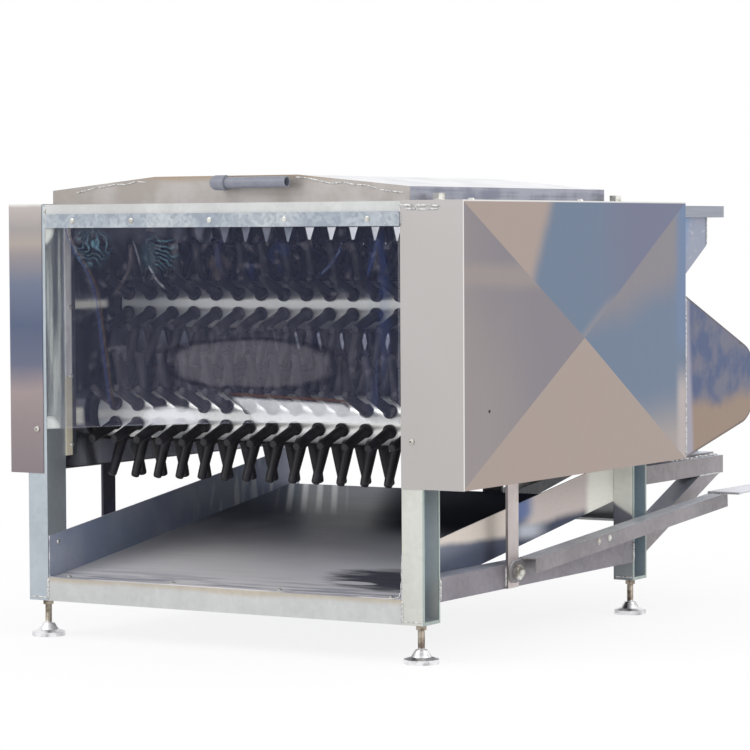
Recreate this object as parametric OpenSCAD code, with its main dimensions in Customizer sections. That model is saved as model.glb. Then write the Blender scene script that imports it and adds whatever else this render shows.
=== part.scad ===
// Horizontal roller plucker for poultry: fingered rollers in a channel-iron frame with sheet covers.
// X runs across the machine, Y from the discharge front to the feed hopper at the rear, Z is up.

/* [Frame] */
// Clear width between the posts
inner_w = 763; // [700:1:900]
// Front face to rear face of the posts
body_d = 875; // [850:1:1000]
// Top of the frame above the floor
frame_top = 804; // [800:1:840]
// Underside of the legs above the floor
leg_z = 69; // [60:1:90]
// Flange width of a post
post_w = 43; // [36:1:60]
// Depth of a post
post_d = 58; // [50:1:70]
// Wall of the posts, beams and rails
section_t = 4.5; // [3:0.5:6]
// End plate under a post
end_plate_t = 6; // [4:0.5:8]
// Height of the cross beams and side rails
beam_h = 43; // [36:1:50]
// Front to back width of the cross beams
beam_w = 43; // [36:1:50]
// Underside of the bottom side rails
rail_z = 105; // [95:1:120]
// Thickness of the side plates
plate_t = 4; // [3:0.5:6]
// Lower edge of the side plates and the rear panel
plate_z = 314; // [300:1:325]
// Thickness of bent sheet
sheet_t = 2; // [1.5:0.5:3]

/* [Trim on the side plates] */
// Width of the screwed strip behind a front post
strip_w = 30; // [20:1:40]
// Thickness of the strip
strip_t = 3; // [2:0.5:5]
// Lower end of the strip
strip_z = 336; // [328:1:360]
// Width of a hanger bar
bar_w = 40; // [30:1:50]
// Thickness of a hanger bar
bar_t = 5; // [4:0.5:6]
// Front edge of the right hanger bar
right_bar_y = 297; // [285:1:310]
// Front edge of the left hanger bar
left_bar_y = 236; // [225:1:250]
// Top of the hanger bars
bar_top = 345; // [335:1:350]

/* [Rollers] */
// Outside diameter of a roller tube
tube_d = 89; // [84:1:112]
// Wall of a roller tube
tube_wall = 4; // [3:0.5:6]
// Gap from a tube end to the side plate
tube_gap = 15.5; // [12:0.5:24]
// Shaft diameter
shaft_d = 35; // [25:1:38]
// Finger spacing along a roller
finger_pitch = 50; // [46:1:60]
// Finger rows round a roller
finger_rows = 8; // [6:1:9]
// Turn of the finger rows at rest, upwards at the front, in degrees
row_turn = 3; // [-10:0.5:10]
// Finger length outside the tube
finger_len = 82; // [70:1:88]
// Diameter of a finger collar
collar_d = 27; // [24:0.5:28]
// Diameter of a finger at its collar
finger_d = 20; // [18:0.5:21]
// Diameter of a finger at its tip
tip_d = 16; // [12:0.5:17]
// Diameter of the finger neck in the tube wall
neck_d = 20; // [16:0.5:21]
// Gap round a finger neck
neck_gap = 0.4; // [0.3:0.1:1]
// Front lower roller axis, back from the front face
roller_y = 184; // [184:1:196]
// Front lower roller axis, above the floor
roller_z = 410; // [405:1:420]
// Upper roller axis, back from the lower one
pair_y = 81; // [70:1:90]
// Upper roller axis, above the lower one
pair_z = 206; // [200:1:212]
// Rear pair, back from the front pair
bank_y = 283; // [283:1:296]
// Rear pair, above the front pair
bank_z = 65; // [55:1:68]
// Outside diameter of an end seal
seal_d = 100; // [80:1:106]

/* [Bearings and drive] */
// Square flange of a bearing
bearing_w = 117; // [100:1:120]
// Length of a bearing along the shaft
bearing_len = 42; // [36:1:42]
// Running gap between a shaft and its bore, on the radius
run_gap = 0.05; // [0.02:0.01:0.1]
// Gap between a belt and its groove
belt_gap = 0.35; // [0.3:0.05:0.6]
// Top width of a belt
belt_w = 13; // [10:0.5:14]
// Height of a belt
belt_h = 8; // [6:0.5:9]
// Width of a pulley for one belt
pulley_w = 20; // [18:0.5:21]
// Rim diameter of the transfer pulleys
transfer_d = 110; // [90:1:120]
// Rim diameter of the driven pulley
driven_d = 184; // [160:1:190]
// Rim diameter of the motor pulley
motor_pulley_d = 96; // [80:1:110]
// Motor axis, behind the rear posts
motor_back = 265; // [255:1:280]
// Motor axis above the floor
motor_z = 442; // [438:1:446]
// Motor shaft diameter
motor_shaft_d = 28; // [24:1:32]
// Shaft height of the motor
motor_foot = 112; // [110:1:116]
// Body diameter over the fins
motor_d = 218; // [200:1:220]
// Length from the shaft shoulder to the fan cover
motor_len = 360; // [340:1:380]

/* [Covers] */
// Front width of the right cover
right_cover_w = 123; // [120:1:140]
// Front width of the left cover
left_cover_w = 75; // [70:1:90]
// Part of a left post left bare beside its cover
left_bare = 7; // [0:1:12]
// Lower edge of the covers
cover_z = 306; // [295:1:312]
// Covers reach behind the rear posts
cover_back = 11; // [8:1:16]
// Rise of the cross break at the cover's centre
cross_rise = 7; // [4:0.5:10]
// Radius of the belt guard's nose
nose_r = 82; // [80:1:90]
// Top of the belt guard at the cover
guard_top = 625; // [600:1:640]
// Width of the belt guard
guard_w = 70; // [66:1:72]

/* [Lid and water] */
// Lid front, back from the front face
lid_y = 29; // [26:1:40]
// Lid length
lid_len = 746; // [720:1:750]
// Height of the lid's side walls
lid_wall = 26; // [24:1:34]
// Height of the lid's ridge
lid_peak = 49; // [44:1:60]
// Width of the flat ridge
ridge_w = 306; // [250:1:360]
// Outside diameter of the water pipe
pipe_d = 20; // [16:1:25]
// Wall of the water pipe
pipe_wall = 2; // [1.5:0.5:3]
// Open end of the water pipe, from the middle
pipe_reach = 148; // [120:1:180]
// Pipe axis above the frame
pipe_rise = 36; // [34:1:38]
// Outside diameter of the elbow
elbow_d = 27; // [26:1:32]
// Elbow stands in front of the lid
elbow_reach = 26; // [24:1:34]
// Length of the spray bar across the rollers
spray_w = 500; // [300:10:520]

/* [Curtain] */
// Thickness of the curtain
curtain_t = 2; // [1.5:0.5:4]
// Lower edge of the curtain
curtain_z = 389; // [380:1:420]
// How much higher the curtain's lower edge is at its right end
curtain_slant = 30; // [0:1:40]
// Height of the clamp bar
clamp_h = 25; // [20:1:30]
// Thickness of the clamp bar
clamp_t = 3; // [2:0.5:5]
// Swell of the curtain's folds at its lower edge
fold_rise = 6; // [2:0.5:7]
// Number of folds across the curtain
fold_count = 5; // [3:1:7]

/* [Feather tray] */
// Slope of the tray floor
tray_slope = 8; // [6:0.5:8]
// Height of the tray's side walls
tray_wall = 78; // [50:1:80]
// Length of the flat lip on the front beam
tray_lip = 28; // [20:1:36]

/* [Feed hopper] */
// Depth of the hopper behind the rear posts
hopper_d = 325; // [300:1:350]
// Lower edge of the hopper's rear wall
hopper_rear_z = 720; // [700:1:740]
// Hopper floor at the rear posts
hopper_front_z = 533; // [525:1:545]
// Hopper sides stand outside the clear width by
hopper_over = 21.5; // [12:0.5:30]
// Height of the rim rail
rim_h = 23; // [20:1:30]
// Width of the rim rail
rim_w = 20; // [15:1:25]
// Rim rail reaches behind the hopper
rim_back = 73; // [60:1:90]
// Corner radius of the rim rail
rim_r = 40; // [30:1:60]
// Length of the inner chute, from the rear of the posts
chute_len = 240; // [200:1:244]
// Slope of the inner chute
chute_slope = 10; // [6:0.5:12]

/* [Motor bracket] */
// Underside of the bracket arms
arm_z = 250; // [246:1:258]
// Height of the bracket arms
arm_h = 36; // [30:1:40]
// Width of the bracket arms
arm_w = 43; // [36:1:46]
// Length of the bracket arms behind the rear posts
arm_len = 389; // [360:1:410]
// Lower end of the diagonal braces
brace_z = 109; // [105:1:130]
// Thickness of the motor base plate
base_t = 6; // [6:1:12]

/* [Foot lever] */
// Pivot above the underside of the bottom rail
pivot_rise = 29; // [20:1:32]
// Diameter of the pivot bolt
pivot_d = 16; // [12:1:20]
// Lever tilt at rest
lever_tilt = 4; // [2:0.5:6]
// Lever length from the pivot
lever_len = 854; // [840:1:930]
// Top flange of the lever's angle iron
lever_w = 35; // [30:1:45]
// Side flange of the lever's angle iron
lever_h = 28; // [20:1:35]
// Thickness of the lever's angle iron
lever_t = 3; // [3:0.5:5]
// Tread reaches past the lever's end
tread_len = 180; // [100:1:200]
// Width of the tread
tread_w = 70; // [50:1:80]

/* [Feet] */
// Pad diameter of a levelling foot
pad_d = 62; // [50:1:70]
// Stem diameter of a levelling foot
stem_d = 12; // [10:1:16]
// Stem length above the end plate
stem_up = 60; // [50:1:80]

/* [Hidden] */
$fn = 48;
half_in = inner_w / 2;
post_out = half_in + post_w;
rear_y = body_d - post_d;
axes = [
    [roller_y, roller_z],
    [roller_y + pair_y, roller_z + pair_z],
    [roller_y + bank_y, roller_z + bank_z],
    [roller_y + pair_y + bank_y, roller_z + pair_z + bank_z]
];

// Rollers and fingers
tube_r = tube_d / 2;
tube_half = half_in - tube_gap;
finger_edge = 16;
upper_reach = floor((tube_half - finger_edge) / finger_pitch);
lower_reach = floor((tube_half - finger_edge) / finger_pitch + 0.5);
upper_stations = [for (i = [-upper_reach : upper_reach]) i * finger_pitch];
lower_stations = [for (i = [0 : 2 * lower_reach - 1]) (i - lower_reach + 0.5) * finger_pitch];
row_step = 360 / finger_rows;
disc_t = 4;
head_d = neck_d + 2;
head_h = 6;
collar_h = 5;
tip_round = 3;
head_top = sqrt(pow(tube_r - tube_wall, 2) - pow(head_d / 2, 2)) - neck_gap;
shaft_end = 6;

// Belt planes, counted outwards from the right side plate
plate_out = half_in + plate_t;
pulley_x = max(plate_out + bearing_len, post_out + bar_t) + 1;
pulley_step = pulley_w + 2;
function plane_x(i) = pulley_x + i * pulley_step;
function plane_end(i) = plane_x(i) + pulley_w;
groove_angle = 20;
groove_depth = belt_h + 3;
hub_gap = 0.1;

// Covers
skin = 1.5;
right_face = half_in + right_cover_w;
left_face = half_in + left_bare + left_cover_w;
cover_rear = body_d + cover_back;
cover_lip = 20;
guard_face = right_face - 2;

// Lid, pipe and curtain
pipe_z = frame_top + pipe_rise;
pipe_y = lid_y - elbow_reach;
spray_y = 150;
spray_z = frame_top + 14;
beam_top_z = frame_top - beam_h;
rivet_h = 2;

// Tray
front_beam_z = leg_z;
tray_z = front_beam_z + beam_h;
tray_gap = 0.5;
tray_edge = 2;
tray_half = half_in - tray_gap;
tray_end = body_d - beam_w + 8;
tray_tan = tan(tray_slope);
rear_beam_top = tray_z + (body_d - beam_w - tray_lip) * tray_tan;
function tray_floor(y) = tray_z + max(0, y - tray_lip) * tray_tan;

// Hopper and chute
hopper_half = half_in + hopper_over;
hopper_y = body_d + hopper_d;
hopper_top = frame_top - 4;
rim_y = hopper_y + rim_back;
chute_y = body_d - chute_len;
hopper_tan = (hopper_rear_z - hopper_front_z) / (hopper_y - body_d);
chute_tan = tan(chute_slope);
function chute_floor(y) = hopper_front_z - (body_d - y) * chute_tan;

// Motor and bracket
motor_y = body_d + motor_back;
arm_y = body_d + arm_len;
shoulder_x = half_in + 18;
arm_x = half_in - 14;
inner_arm_x = shoulder_x - motor_len + 20;
base_z = arm_z + arm_h;
rail_top = motor_z - motor_foot;
foot_pitch_x = 140;
foot_first = 70;
foot_pitch_y = 190;
fan_len = 76;
box_back = 190;
box_l = 96;
box_w = 92;
box_seat = motor_d / 2 + 2;

// Foot lever
pivot_y = right_bar_y + bar_w / 2;
pivot_z = rail_z + pivot_rise;
lever_x = post_out + bar_t + 0.5;
crank_t = 5;
iron_y = 26;
lever_top = 23;
tread_t = 3;
tread_lap = 20;
lever_end = [
    pivot_y + lever_len * cos(lever_tilt) - lever_top * sin(lever_tilt),
    pivot_z + lever_len * sin(lever_tilt) + lever_top * cos(lever_tilt)
];

// Levelling feet
foot_x = half_in + post_w / 2;
foot_y = [post_d / 2, body_d - post_d / 2];
nut_h = 10;
pad_h = 8;
bell_h = 24;

// Box of the whole machine, which sets the origin
box_left = left_face + cross_rise;
box_right = right_face + cross_rise;
box_front = min(pipe_y - elbow_d / 2, -curtain_t - clamp_t - rivet_h, -curtain_t - fold_rise);
box_rear = lever_end[0] + tread_len;
mid_x = (box_right - box_left) / 2;
mid_y = (box_front + box_rear) / 2;

galvanised = [0.74, 0.77, 0.76];
stainless = [0.78, 0.78, 0.79];
dark_steel = [0.42, 0.43, 0.45];
rubber = [0.08, 0.08, 0.09];
zinc = [0.80, 0.80, 0.78];
motor_paint = [0.35, 0.42, 0.50];
pvc = [0.55, 0.56, 0.60];
clear = [0.85, 0.90, 0.95, 0.35];

// Moves the machine so that the origin is under the middle of its box
module placed() translate([-mid_x, -mid_y, 0]) children();

// Both a piece on the right and its mirror image on the left
module both_sides() {
    children();
    mirror([1, 0, 0]) children();
}

// Section with its web at x = 0 and its flanges along +x
module channel(width, height, wall) {
    difference() {
        square([width, height]);
        translate([wall, wall]) square([width, height - 2 * wall]);
    }
}

// Turns a drawing in Y and Z into a slab that starts at x and runs along +X
module along_x(x, length) translate([x, 0, 0]) rotate([90, 0, 90]) linear_extrude(length) children();

// Round bar along +X
module rod_x(x, y, z, diameter, length)
    translate([x, y, z]) rotate([0, 90, 0]) cylinder(d = diameter, h = length);

// Domed screw head that stands on z = 0
module screw_head(diameter, height) {
    rotate_extrude() polygon([
        [0, 0], [diameter / 2, 0], [diameter / 2, height * 0.45], [diameter * 0.32, height], [0, height]
    ]);
}

module post(y) {
    base = leg_z + end_plate_t;
    translate([half_in, y, base]) linear_extrude(frame_top - base) channel(post_w, post_d, section_t);
    translate([half_in, y, frame_top - section_t]) cube([post_w, post_d, section_t]);
    difference() {
        translate([half_in, y, leg_z]) cube([post_w, post_d, end_plate_t]);
        translate([foot_x, y + post_d / 2, leg_z - 1])
            cylinder(r = stem_d / 2 + run_gap, h = end_plate_t + 2);
    }
}

module posts() {
    color(galvanised) placed() both_sides() {
        post(0);
        post(rear_y);
    }
}

// Beam whose web faces the front, at height z
module front_beam(z) along_x(-half_in, inner_w) translate([0, z]) channel(beam_w, beam_h, section_t);

module rear_beam(z)
    along_x(-half_in, inner_w) translate([body_d, z]) mirror([1, 0]) channel(beam_w, beam_h, section_t);

module front_beams() {
    color(galvanised) placed() {
        front_beam(front_beam_z);
        front_beam(beam_top_z);
    }
}

module rear_beams() {
    color(galvanised) placed() {
        rear_beam(rear_beam_top - beam_h);
        rear_beam(beam_top_z);
    }
}

// Rail between the posts with its web on the outside
module side_rail(z, width) {
    translate([post_out, rear_y, z]) rotate([90, 0, 0]) linear_extrude(rear_y - post_d)
        mirror([1, 0]) channel(width, beam_h, section_t);
}

module bottom_rails() color(galvanised) placed() both_sides() side_rail(rail_z, post_w);

module top_rails() color(galvanised) placed() both_sides() side_rail(beam_top_z, post_w - plate_t);

module side_plate() {
    along_x(half_in, plate_t) difference() {
        translate([post_d, plate_z]) square([rear_y - post_d, frame_top - plate_z]);
        for (a = axes) translate(a) circle(d = shaft_d + 16);
    }
}

module left_side_plate() color(stainless) placed() mirror([1, 0, 0]) side_plate();

module right_side_plate() color(stainless) placed() side_plate();

module rear_panel() {
    color(stainless) placed() along_x(-half_in, inner_w)
        translate([rear_y, plate_z]) square([sheet_t, chute_floor(rear_y) - plate_z]);
}

module edge_strips() {
    color(stainless) placed() both_sides()
        translate([half_in - strip_t, post_d, strip_z])
            cube([strip_t, strip_w, beam_top_z - strip_z]);
}

strip_screw_z = [for (i = [0 : 3]) strip_z + 20 + i * (beam_top_z - strip_z - 40) / 3];
tray_screw_share = [-0.45, -0.145, 0.157, 0.46];
cover_screw_z = 388;

// Small screws of the strips, the tray and the covers
module panel_screws() {
    color(zinc) placed() {
        both_sides() for (z = strip_screw_z)
            translate([half_in - strip_t, post_d + strip_w / 2, z]) rotate([0, -90, 0]) screw_head(9, 3);
        for (share = tray_screw_share)
            translate([share * inner_w, tray_lip / 2, tray_z + sheet_t]) screw_head(10, 3);
        both_sides() translate([tray_half - sheet_t, tray_lip, tray_z + tray_wall * 0.83])
            rotate([0, -90, 0]) screw_head(9, 3);
        translate([post_out - 22, -skin, cover_screw_z]) rotate([90, 0, 0]) screw_head(11, 4);
        translate([-post_out + 22, -skin, cover_screw_z]) rotate([90, 0, 0]) screw_head(11, 4);
    }
}

// Flat bar welded to a bottom rail, with a tab to the side plate
module hanger_bar(y) {
    translate([post_out, y, rail_z]) cube([bar_t, bar_w, bar_top - rail_z]);
    translate([plate_out, y, bar_top - bar_t]) cube([post_out - plate_out, bar_w, bar_t]);
}

module hanger_bars() {
    color(galvanised) placed() {
        difference() {
            hanger_bar(right_bar_y);
            rod_x(post_out - 1, pivot_y, pivot_z, pivot_d + 2 * run_gap, bar_t + 2);
        }
        mirror([1, 0, 0]) hanger_bar(left_bar_y);
    }
}

// Side view of the tray floor, moved up by rise
function tray_line(rise) = [for (y = [tray_edge, tray_lip, tray_end]) [y, tray_floor(y) + rise]];

module feather_tray() {
    color(dark_steel) placed() {
        along_x(-tray_half, 2 * tray_half)
            polygon(concat(tray_line(0), [for (i = [2 : -1 : 0]) tray_line(sheet_t)[i]]));
        both_sides() along_x(tray_half - sheet_t, sheet_t) polygon([
            [tray_edge, tray_z + sheet_t],
            [tray_lip, tray_z + sheet_t],
            [tray_end, tray_floor(tray_end) + sheet_t],
            [tray_end, tray_floor(tray_end) + tray_wall],
            [tray_edge, tray_z + tray_wall]
        ]);
    }
}

module curtain_bar() {
    color(galvanised) placed()
        translate([-half_in, -curtain_t - clamp_t, beam_top_z]) cube([inner_w, clamp_t, clamp_h]);
}

rivet_share = [-0.413, -0.24, -0.016, 0.192, 0.416];

module bar_rivets() {
    color(zinc) placed() translate([0, -curtain_t - clamp_t, beam_top_z + clamp_h / 2])
        for (share = rivet_share) translate([share * inner_w, 0, 0])
            rotate([90, 0, 0]) screw_head(10, rivet_h);
}

// Top edge of the curtain, held between the bar and the beam
module curtain_strip() {
    color(clear) placed()
        translate([-curtain_half, -curtain_t, beam_top_z]) cube([2 * curtain_half, curtain_t, clamp_h]);
}

// Curtain as a sheet that hangs flat under its bar and swells in folds towards its lower edge
curtain_cols = 30;
curtain_rows = 8;
curtain_half = half_in - 2;
hinge_gap = 0.3;
curtain_top = beam_top_z - hinge_gap;
function curtain_x(i) = curtain_half * (2 * i / curtain_cols - 1);
function curtain_drop(j) = j / curtain_rows;
function curtain_foot(i) = curtain_z + curtain_slant * i / curtain_cols;
function curtain_height(i, j) = curtain_top - (curtain_top - curtain_foot(i)) * curtain_drop(j);
function fold_wave(i) = (1 - cos(360 * fold_count * i / curtain_cols)) / 2;
function fold(i, j) = fold_rise * pow(curtain_drop(j), 2) * fold_wave(i);
function curtain_point(i, j, back) =
    [curtain_x(i), (back ? 0 : -curtain_t) - fold(i, j), curtain_height(i, j)];
function curtain_index(i, j, back) = ((back ? 1 : 0) * (curtain_rows + 1) + j) * (curtain_cols + 1) + i;

module curtain() {
    points = [for (b = [false, true], j = [0 : curtain_rows], i = [0 : curtain_cols])
        curtain_point(i, j, b)];
    function quad(a, b, c, d) = [[a, b, c], [a, c, d]];
    front = [for (j = [0 : curtain_rows - 1], i = [0 : curtain_cols - 1]) each quad(
        curtain_index(i, j, false), curtain_index(i + 1, j, false),
        curtain_index(i + 1, j + 1, false), curtain_index(i, j + 1, false))];
    back = [for (j = [0 : curtain_rows - 1], i = [0 : curtain_cols - 1]) each quad(
        curtain_index(i + 1, j, true), curtain_index(i, j, true),
        curtain_index(i, j + 1, true), curtain_index(i + 1, j + 1, true))];
    ends = [for (j = [0 : curtain_rows - 1]) each concat(
        quad(curtain_index(0, j, true), curtain_index(0, j, false),
            curtain_index(0, j + 1, false), curtain_index(0, j + 1, true)),
        quad(curtain_index(curtain_cols, j, false), curtain_index(curtain_cols, j, true),
            curtain_index(curtain_cols, j + 1, true), curtain_index(curtain_cols, j + 1, false)))];
    rims = [for (i = [0 : curtain_cols - 1]) each concat(
        quad(curtain_index(i, 0, true), curtain_index(i + 1, 0, true),
            curtain_index(i + 1, 0, false), curtain_index(i, 0, false)),
        quad(curtain_index(i, curtain_rows, false), curtain_index(i + 1, curtain_rows, false),
            curtain_index(i + 1, curtain_rows, true), curtain_index(i, curtain_rows, true)))];
    color(clear) placed() polyhedron(points, concat(front, back, ends, rims));
}

// Corners of a cover's outline at x, drawn in by inset
function cover_ring(x, inset) = [
    [x, inset - skin, cover_z + inset],
    [x, cover_rear - inset, cover_z + inset],
    [x, cover_rear - inset, frame_top - inset],
    [x, inset - skin, frame_top - inset]
];

// Block from x0 to x1 whose outer face rises to a point, as a cross break folds it
module cover_form(x0, x1, inset) {
    apex = [x1 + cross_rise, (cover_rear - skin) / 2, (cover_z + frame_top) / 2];
    polyhedron(
        concat(cover_ring(x0, inset), cover_ring(x1, inset), [apex]),
        [[0, 1, 2], [0, 2, 3], [1, 0, 4], [1, 4, 5], [2, 1, 5], [2, 5, 6],
            [3, 2, 6], [3, 6, 7], [0, 3, 7], [0, 7, 4],
            [5, 4, 8], [6, 5, 8], [7, 6, 8], [4, 7, 8]]
    );
}

// Sheet cover that is open towards the machine, with a front flange, a top flange on the rail
// and a notch in its bottom round the hanger bar at bar_y
module cover(face, flange_x, bar_y) {
    difference() {
        cover_form(post_out, face, 0);
        cover_form(post_out - 1, face - skin, skin);
        translate([post_out - 1, bar_y - 1, cover_z - 1]) cube([bar_t + 2, bar_w + 2, skin + 2]);
    }
    translate([flange_x, -skin, cover_z]) cube([post_out - flange_x, skin, frame_top - cover_z]);
    translate([plate_out, -skin, frame_top]) cube([face - plate_out, cover_rear + skin, skin]);
}

module left_cover() {
    color(stainless) placed() mirror([1, 0, 0]) cover(left_face, half_in + left_bare, left_bar_y);
}

module right_cover() {
    color(stainless) placed() difference() {
        cover(right_face, half_in, right_bar_y);
        translate([guard_face - guard_w + skin, cover_rear - 5, cover_z + cover_lip])
            cube([guard_w - 2 * skin, 10, guard_top - cover_z - 2 * cover_lip]);
    }
}

// Tangent point on a circle at c of radius r, seen from p, on the given side
function tangent_point(p, c, r, side) =
    let (d = norm(c - p), a = atan2(p[1] - c[1], p[0] - c[0]), b = acos(r / d))
    [c[0] + r * cos(a + side * b), c[1] + r * sin(a + side * b)];

// Side view of the belt guard, drawn in by inset
module guard_outline(inset) {
    nose = [motor_y, motor_z];
    r = nose_r - inset;
    low = [cover_rear, cover_z + inset];
    high = [cover_rear, guard_top - inset];
    polygon([low, tangent_point(low, nose, r, 1), nose, tangent_point(high, nose, r, -1), high]);
    translate(nose) circle(r = r);
}

module belt_guard() {
    color(stainless) placed() difference() {
        along_x(guard_face - guard_w, guard_w) guard_outline(0);
        along_x(guard_face - guard_w + skin, guard_w - 2 * skin) {
            guard_outline(skin);
            translate([cover_rear - 1, cover_z + skin]) square([1.1, guard_top - cover_z - 2 * skin]);
        }
        rod_x(guard_face - guard_w - 1, motor_y, motor_z, motor_shaft_d + 24, skin + 2);
    }
}

top_bolt_y = [post_d * 0.8 + 50, rear_y - 33];
top_dome_y = [211, 633];

// Hex bolts and dome heads on the cover flanges over the top rails
module top_bolts() {
    color(zinc) placed() both_sides() translate([foot_x, 0, frame_top + skin]) {
        for (y = top_bolt_y) translate([0, y, 0]) {
            cylinder(d = 30, h = 2);
            translate([0, 0, 2]) cylinder(d = 25, h = 11, $fn = 6);
        }
        for (y = top_dome_y) translate([0, y, 0]) screw_head(14, 5);
    }
}

// Square flange bearing on the outside of the right side plate, at the origin
module bearing() {
    flange_t = 14;
    rotate([0, 90, 0]) difference() {
        union() {
            intersection() {
                translate([-bearing_w / 2, -bearing_w / 2, 0]) cube([bearing_w, bearing_w, flange_t]);
                cylinder(d = bearing_w * 1.27, h = flange_t);
            }
            cylinder(d1 = bearing_w * 0.78, d2 = bearing_w * 0.68, h = bearing_len * 0.76);
            cylinder(d = shaft_d + 14, h = bearing_len);
        }
        translate([0, 0, -1]) cylinder(r = shaft_d / 2 + run_gap, h = bearing_len + 2);
        for (x = [-1, 1], y = [-1, 1]) translate([x, y, 0] * bearing_w * 0.39)
            translate([0, 0, -1]) cylinder(d = 14, h = flange_t + 2);
    }
}

module bearing_set() for (a = axes) translate([plate_out, a[0], a[1]]) bearing();

module left_bearings() color(dark_steel) placed() mirror([1, 0, 0]) bearing_set();

module right_bearings() color(dark_steel) placed() bearing_set();

// Rubber rings on the side plates that keep feathers off the shafts
module end_seals() {
    seal_t = tube_gap - 2;
    color(rubber) placed() both_sides() for (a = axes) difference() {
        rod_x(half_in - seal_t, a[0], a[1], seal_d, seal_t);
        rod_x(half_in - seal_t - 1, a[0], a[1], shaft_d + 1, seal_t + 2);
    }
}

// One radial direction per finger row, along +Z of the children
function row_angle(i) = (i + 0.5) * row_step - 90 - row_turn;

module each_row() for (i = [0 : finger_rows - 1]) rotate([row_angle(i), 0, 0]) children();

// Tube with end discs, drilled for the fingers at the given stations, on a through shaft
// that ends at the last belt plane it carries
module roller(axis, stations, last) {
    shaft_start = -plate_out - bearing_len - shaft_end;
    translate([0, axis[0], axis[1]]) {
        difference() {
            rod_x(-tube_half, 0, 0, tube_d, 2 * tube_half);
            rod_x(-tube_half + disc_t, 0, 0, tube_d - 2 * tube_wall, 2 * (tube_half - disc_t));
            rod_x(-tube_half - 1, 0, 0, shaft_d + hub_gap, 2 * tube_half + 2);
            for (x = stations) translate([x, 0, 0]) each_row()
                translate([0, 0, tube_r - 2 * tube_wall])
                    cylinder(d = neck_d + 2 * neck_gap, h = 3 * tube_wall);
        }
        rod_x(shaft_start, 0, 0, shaft_d, plane_end(last) - shaft_start);
    }
}

// Rubber finger along +Z, measured from the roller's axis: head inside the tube, neck, collar and taper
module finger() {
    seat = tube_r + neck_gap;
    tip = tube_r + finger_len;
    rotate_extrude($fn = 24) polygon([
        [0, head_top - head_h], [head_d / 2, head_top - head_h], [head_d / 2, head_top],
        [neck_d / 2, head_top], [neck_d / 2, seat], [collar_d / 2, seat],
        [collar_d / 2, seat + collar_h], [finger_d / 2, seat + 2 * collar_h],
        [tip_d / 2, tip - tip_round], [tip_d / 2 - tip_round, tip], [0, tip]
    ]);
}

module fingers(axis, stations)
    translate([0, axis[0], axis[1]]) for (x = stations) translate([x, 0, 0]) each_row() finger();

module lower_front_roller() color(stainless) placed() roller(axes[0], lower_stations, 1);

module upper_front_roller() color(stainless) placed() roller(axes[1], upper_stations, 0);

module lower_rear_roller() color(stainless) placed() roller(axes[2], lower_stations, 2);

module upper_rear_roller() color(stainless) placed() roller(axes[3], upper_stations, 0);

module lower_front_fingers() color(rubber) placed() fingers(axes[0], lower_stations);

module upper_front_fingers() color(rubber) placed() fingers(axes[1], upper_stations);

module lower_rear_fingers() color(rubber) placed() fingers(axes[2], lower_stations);

module upper_rear_fingers() color(rubber) placed() fingers(axes[3], upper_stations);

// Pulley along +X on a shaft, with one groove per belt plane from the first to the last
module pulley(axis, diameter, bore, first, last) {
    r = diameter / 2;
    wide = belt_w / 2 + belt_gap;
    narrow = wide - groove_depth * tan(groove_angle);
    start = plane_x(first);
    length = plane_x(last) + pulley_w - start;
    translate([start, axis[0], axis[1]]) rotate([0, 90, 0]) difference() {
        cylinder(d = diameter, h = length);
        translate([0, 0, -1]) cylinder(d = bore, h = length + 2);
        for (i = [0 : last - first]) translate([0, 0, i * pulley_step + pulley_w / 2])
            rotate_extrude() polygon([
                [r + 1, -wide - tan(groove_angle)], [r - groove_depth, -narrow],
                [r - groove_depth, narrow], [r + 1, wide + tan(groove_angle)]
            ]);
    }
}

module lower_front_pulley() color(dark_steel) placed() pulley(axes[0], transfer_d, shaft_d + hub_gap, 0, 1);

module upper_front_pulley() color(dark_steel) placed() pulley(axes[1], transfer_d, shaft_d + hub_gap, 0, 0);

module lower_rear_pulley() color(dark_steel) placed() pulley(axes[2], transfer_d, shaft_d + hub_gap, 0, 1);

module upper_rear_pulley() color(dark_steel) placed() pulley(axes[3], transfer_d, shaft_d + hub_gap, 0, 0);

module driven_pulley() color(dark_steel) placed() pulley(axes[2], driven_d, shaft_d + hub_gap, 2, 2);

module motor_pulley()
    color(dark_steel) placed() pulley([motor_y, motor_z], motor_pulley_d, motor_shaft_d + hub_gap, 2, 2);

// Belt cross-section: x is outwards from the belt's top at the rim, y along the shaft
module belt_section(inset) {
    top = belt_w / 2 - 2 * inset;
    narrow = belt_w / 2 - belt_h * tan(groove_angle) - inset;
    polygon([[inset - belt_h, -narrow], [-inset, -top], [-inset, top], [inset - belt_h, narrow]]);
}

// Belt round two pulleys of rim radius r1 and r2 in one belt plane
module belt(c1, r1, c2, r2, plane) {
    d = norm(c2 - c1);
    a = atan2(c2[1] - c1[1], c2[0] - c1[0]);
    b = acos((r1 - r2) / d);
    run = d * sin(b);
    lap = 1;
    strand_inset = 0.03;
    translate([plane_x(plane) + pulley_w / 2, 0, 0]) rotate([90, 0, 90]) {
        translate(c1) rotate([0, 0, a + b])
            rotate_extrude(angle = 360 - 2 * b) translate([r1, 0]) belt_section(0);
        translate(c2) rotate([0, 0, a - b])
            rotate_extrude(angle = 2 * b) translate([r2, 0]) belt_section(0);
        translate(c1) rotate([0, 0, a + b]) translate([0, lap, 0]) rotate([90, 0, 0])
            linear_extrude(run + 2 * lap) translate([r1, 0]) belt_section(strand_inset);
        translate(c2) rotate([0, 0, a - b]) translate([0, lap, 0]) rotate([90, 0, 0])
            linear_extrude(run + 2 * lap) translate([r2, 0]) belt_section(strand_inset);
    }
}

module transfer_belts() {
    r = transfer_d / 2;
    color(rubber) placed() {
        belt(axes[0], r, axes[1], r, 0);
        belt(axes[2], r, axes[3], r, 0);
        belt(axes[0], r, axes[2], r, 1);
    }
}

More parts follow.
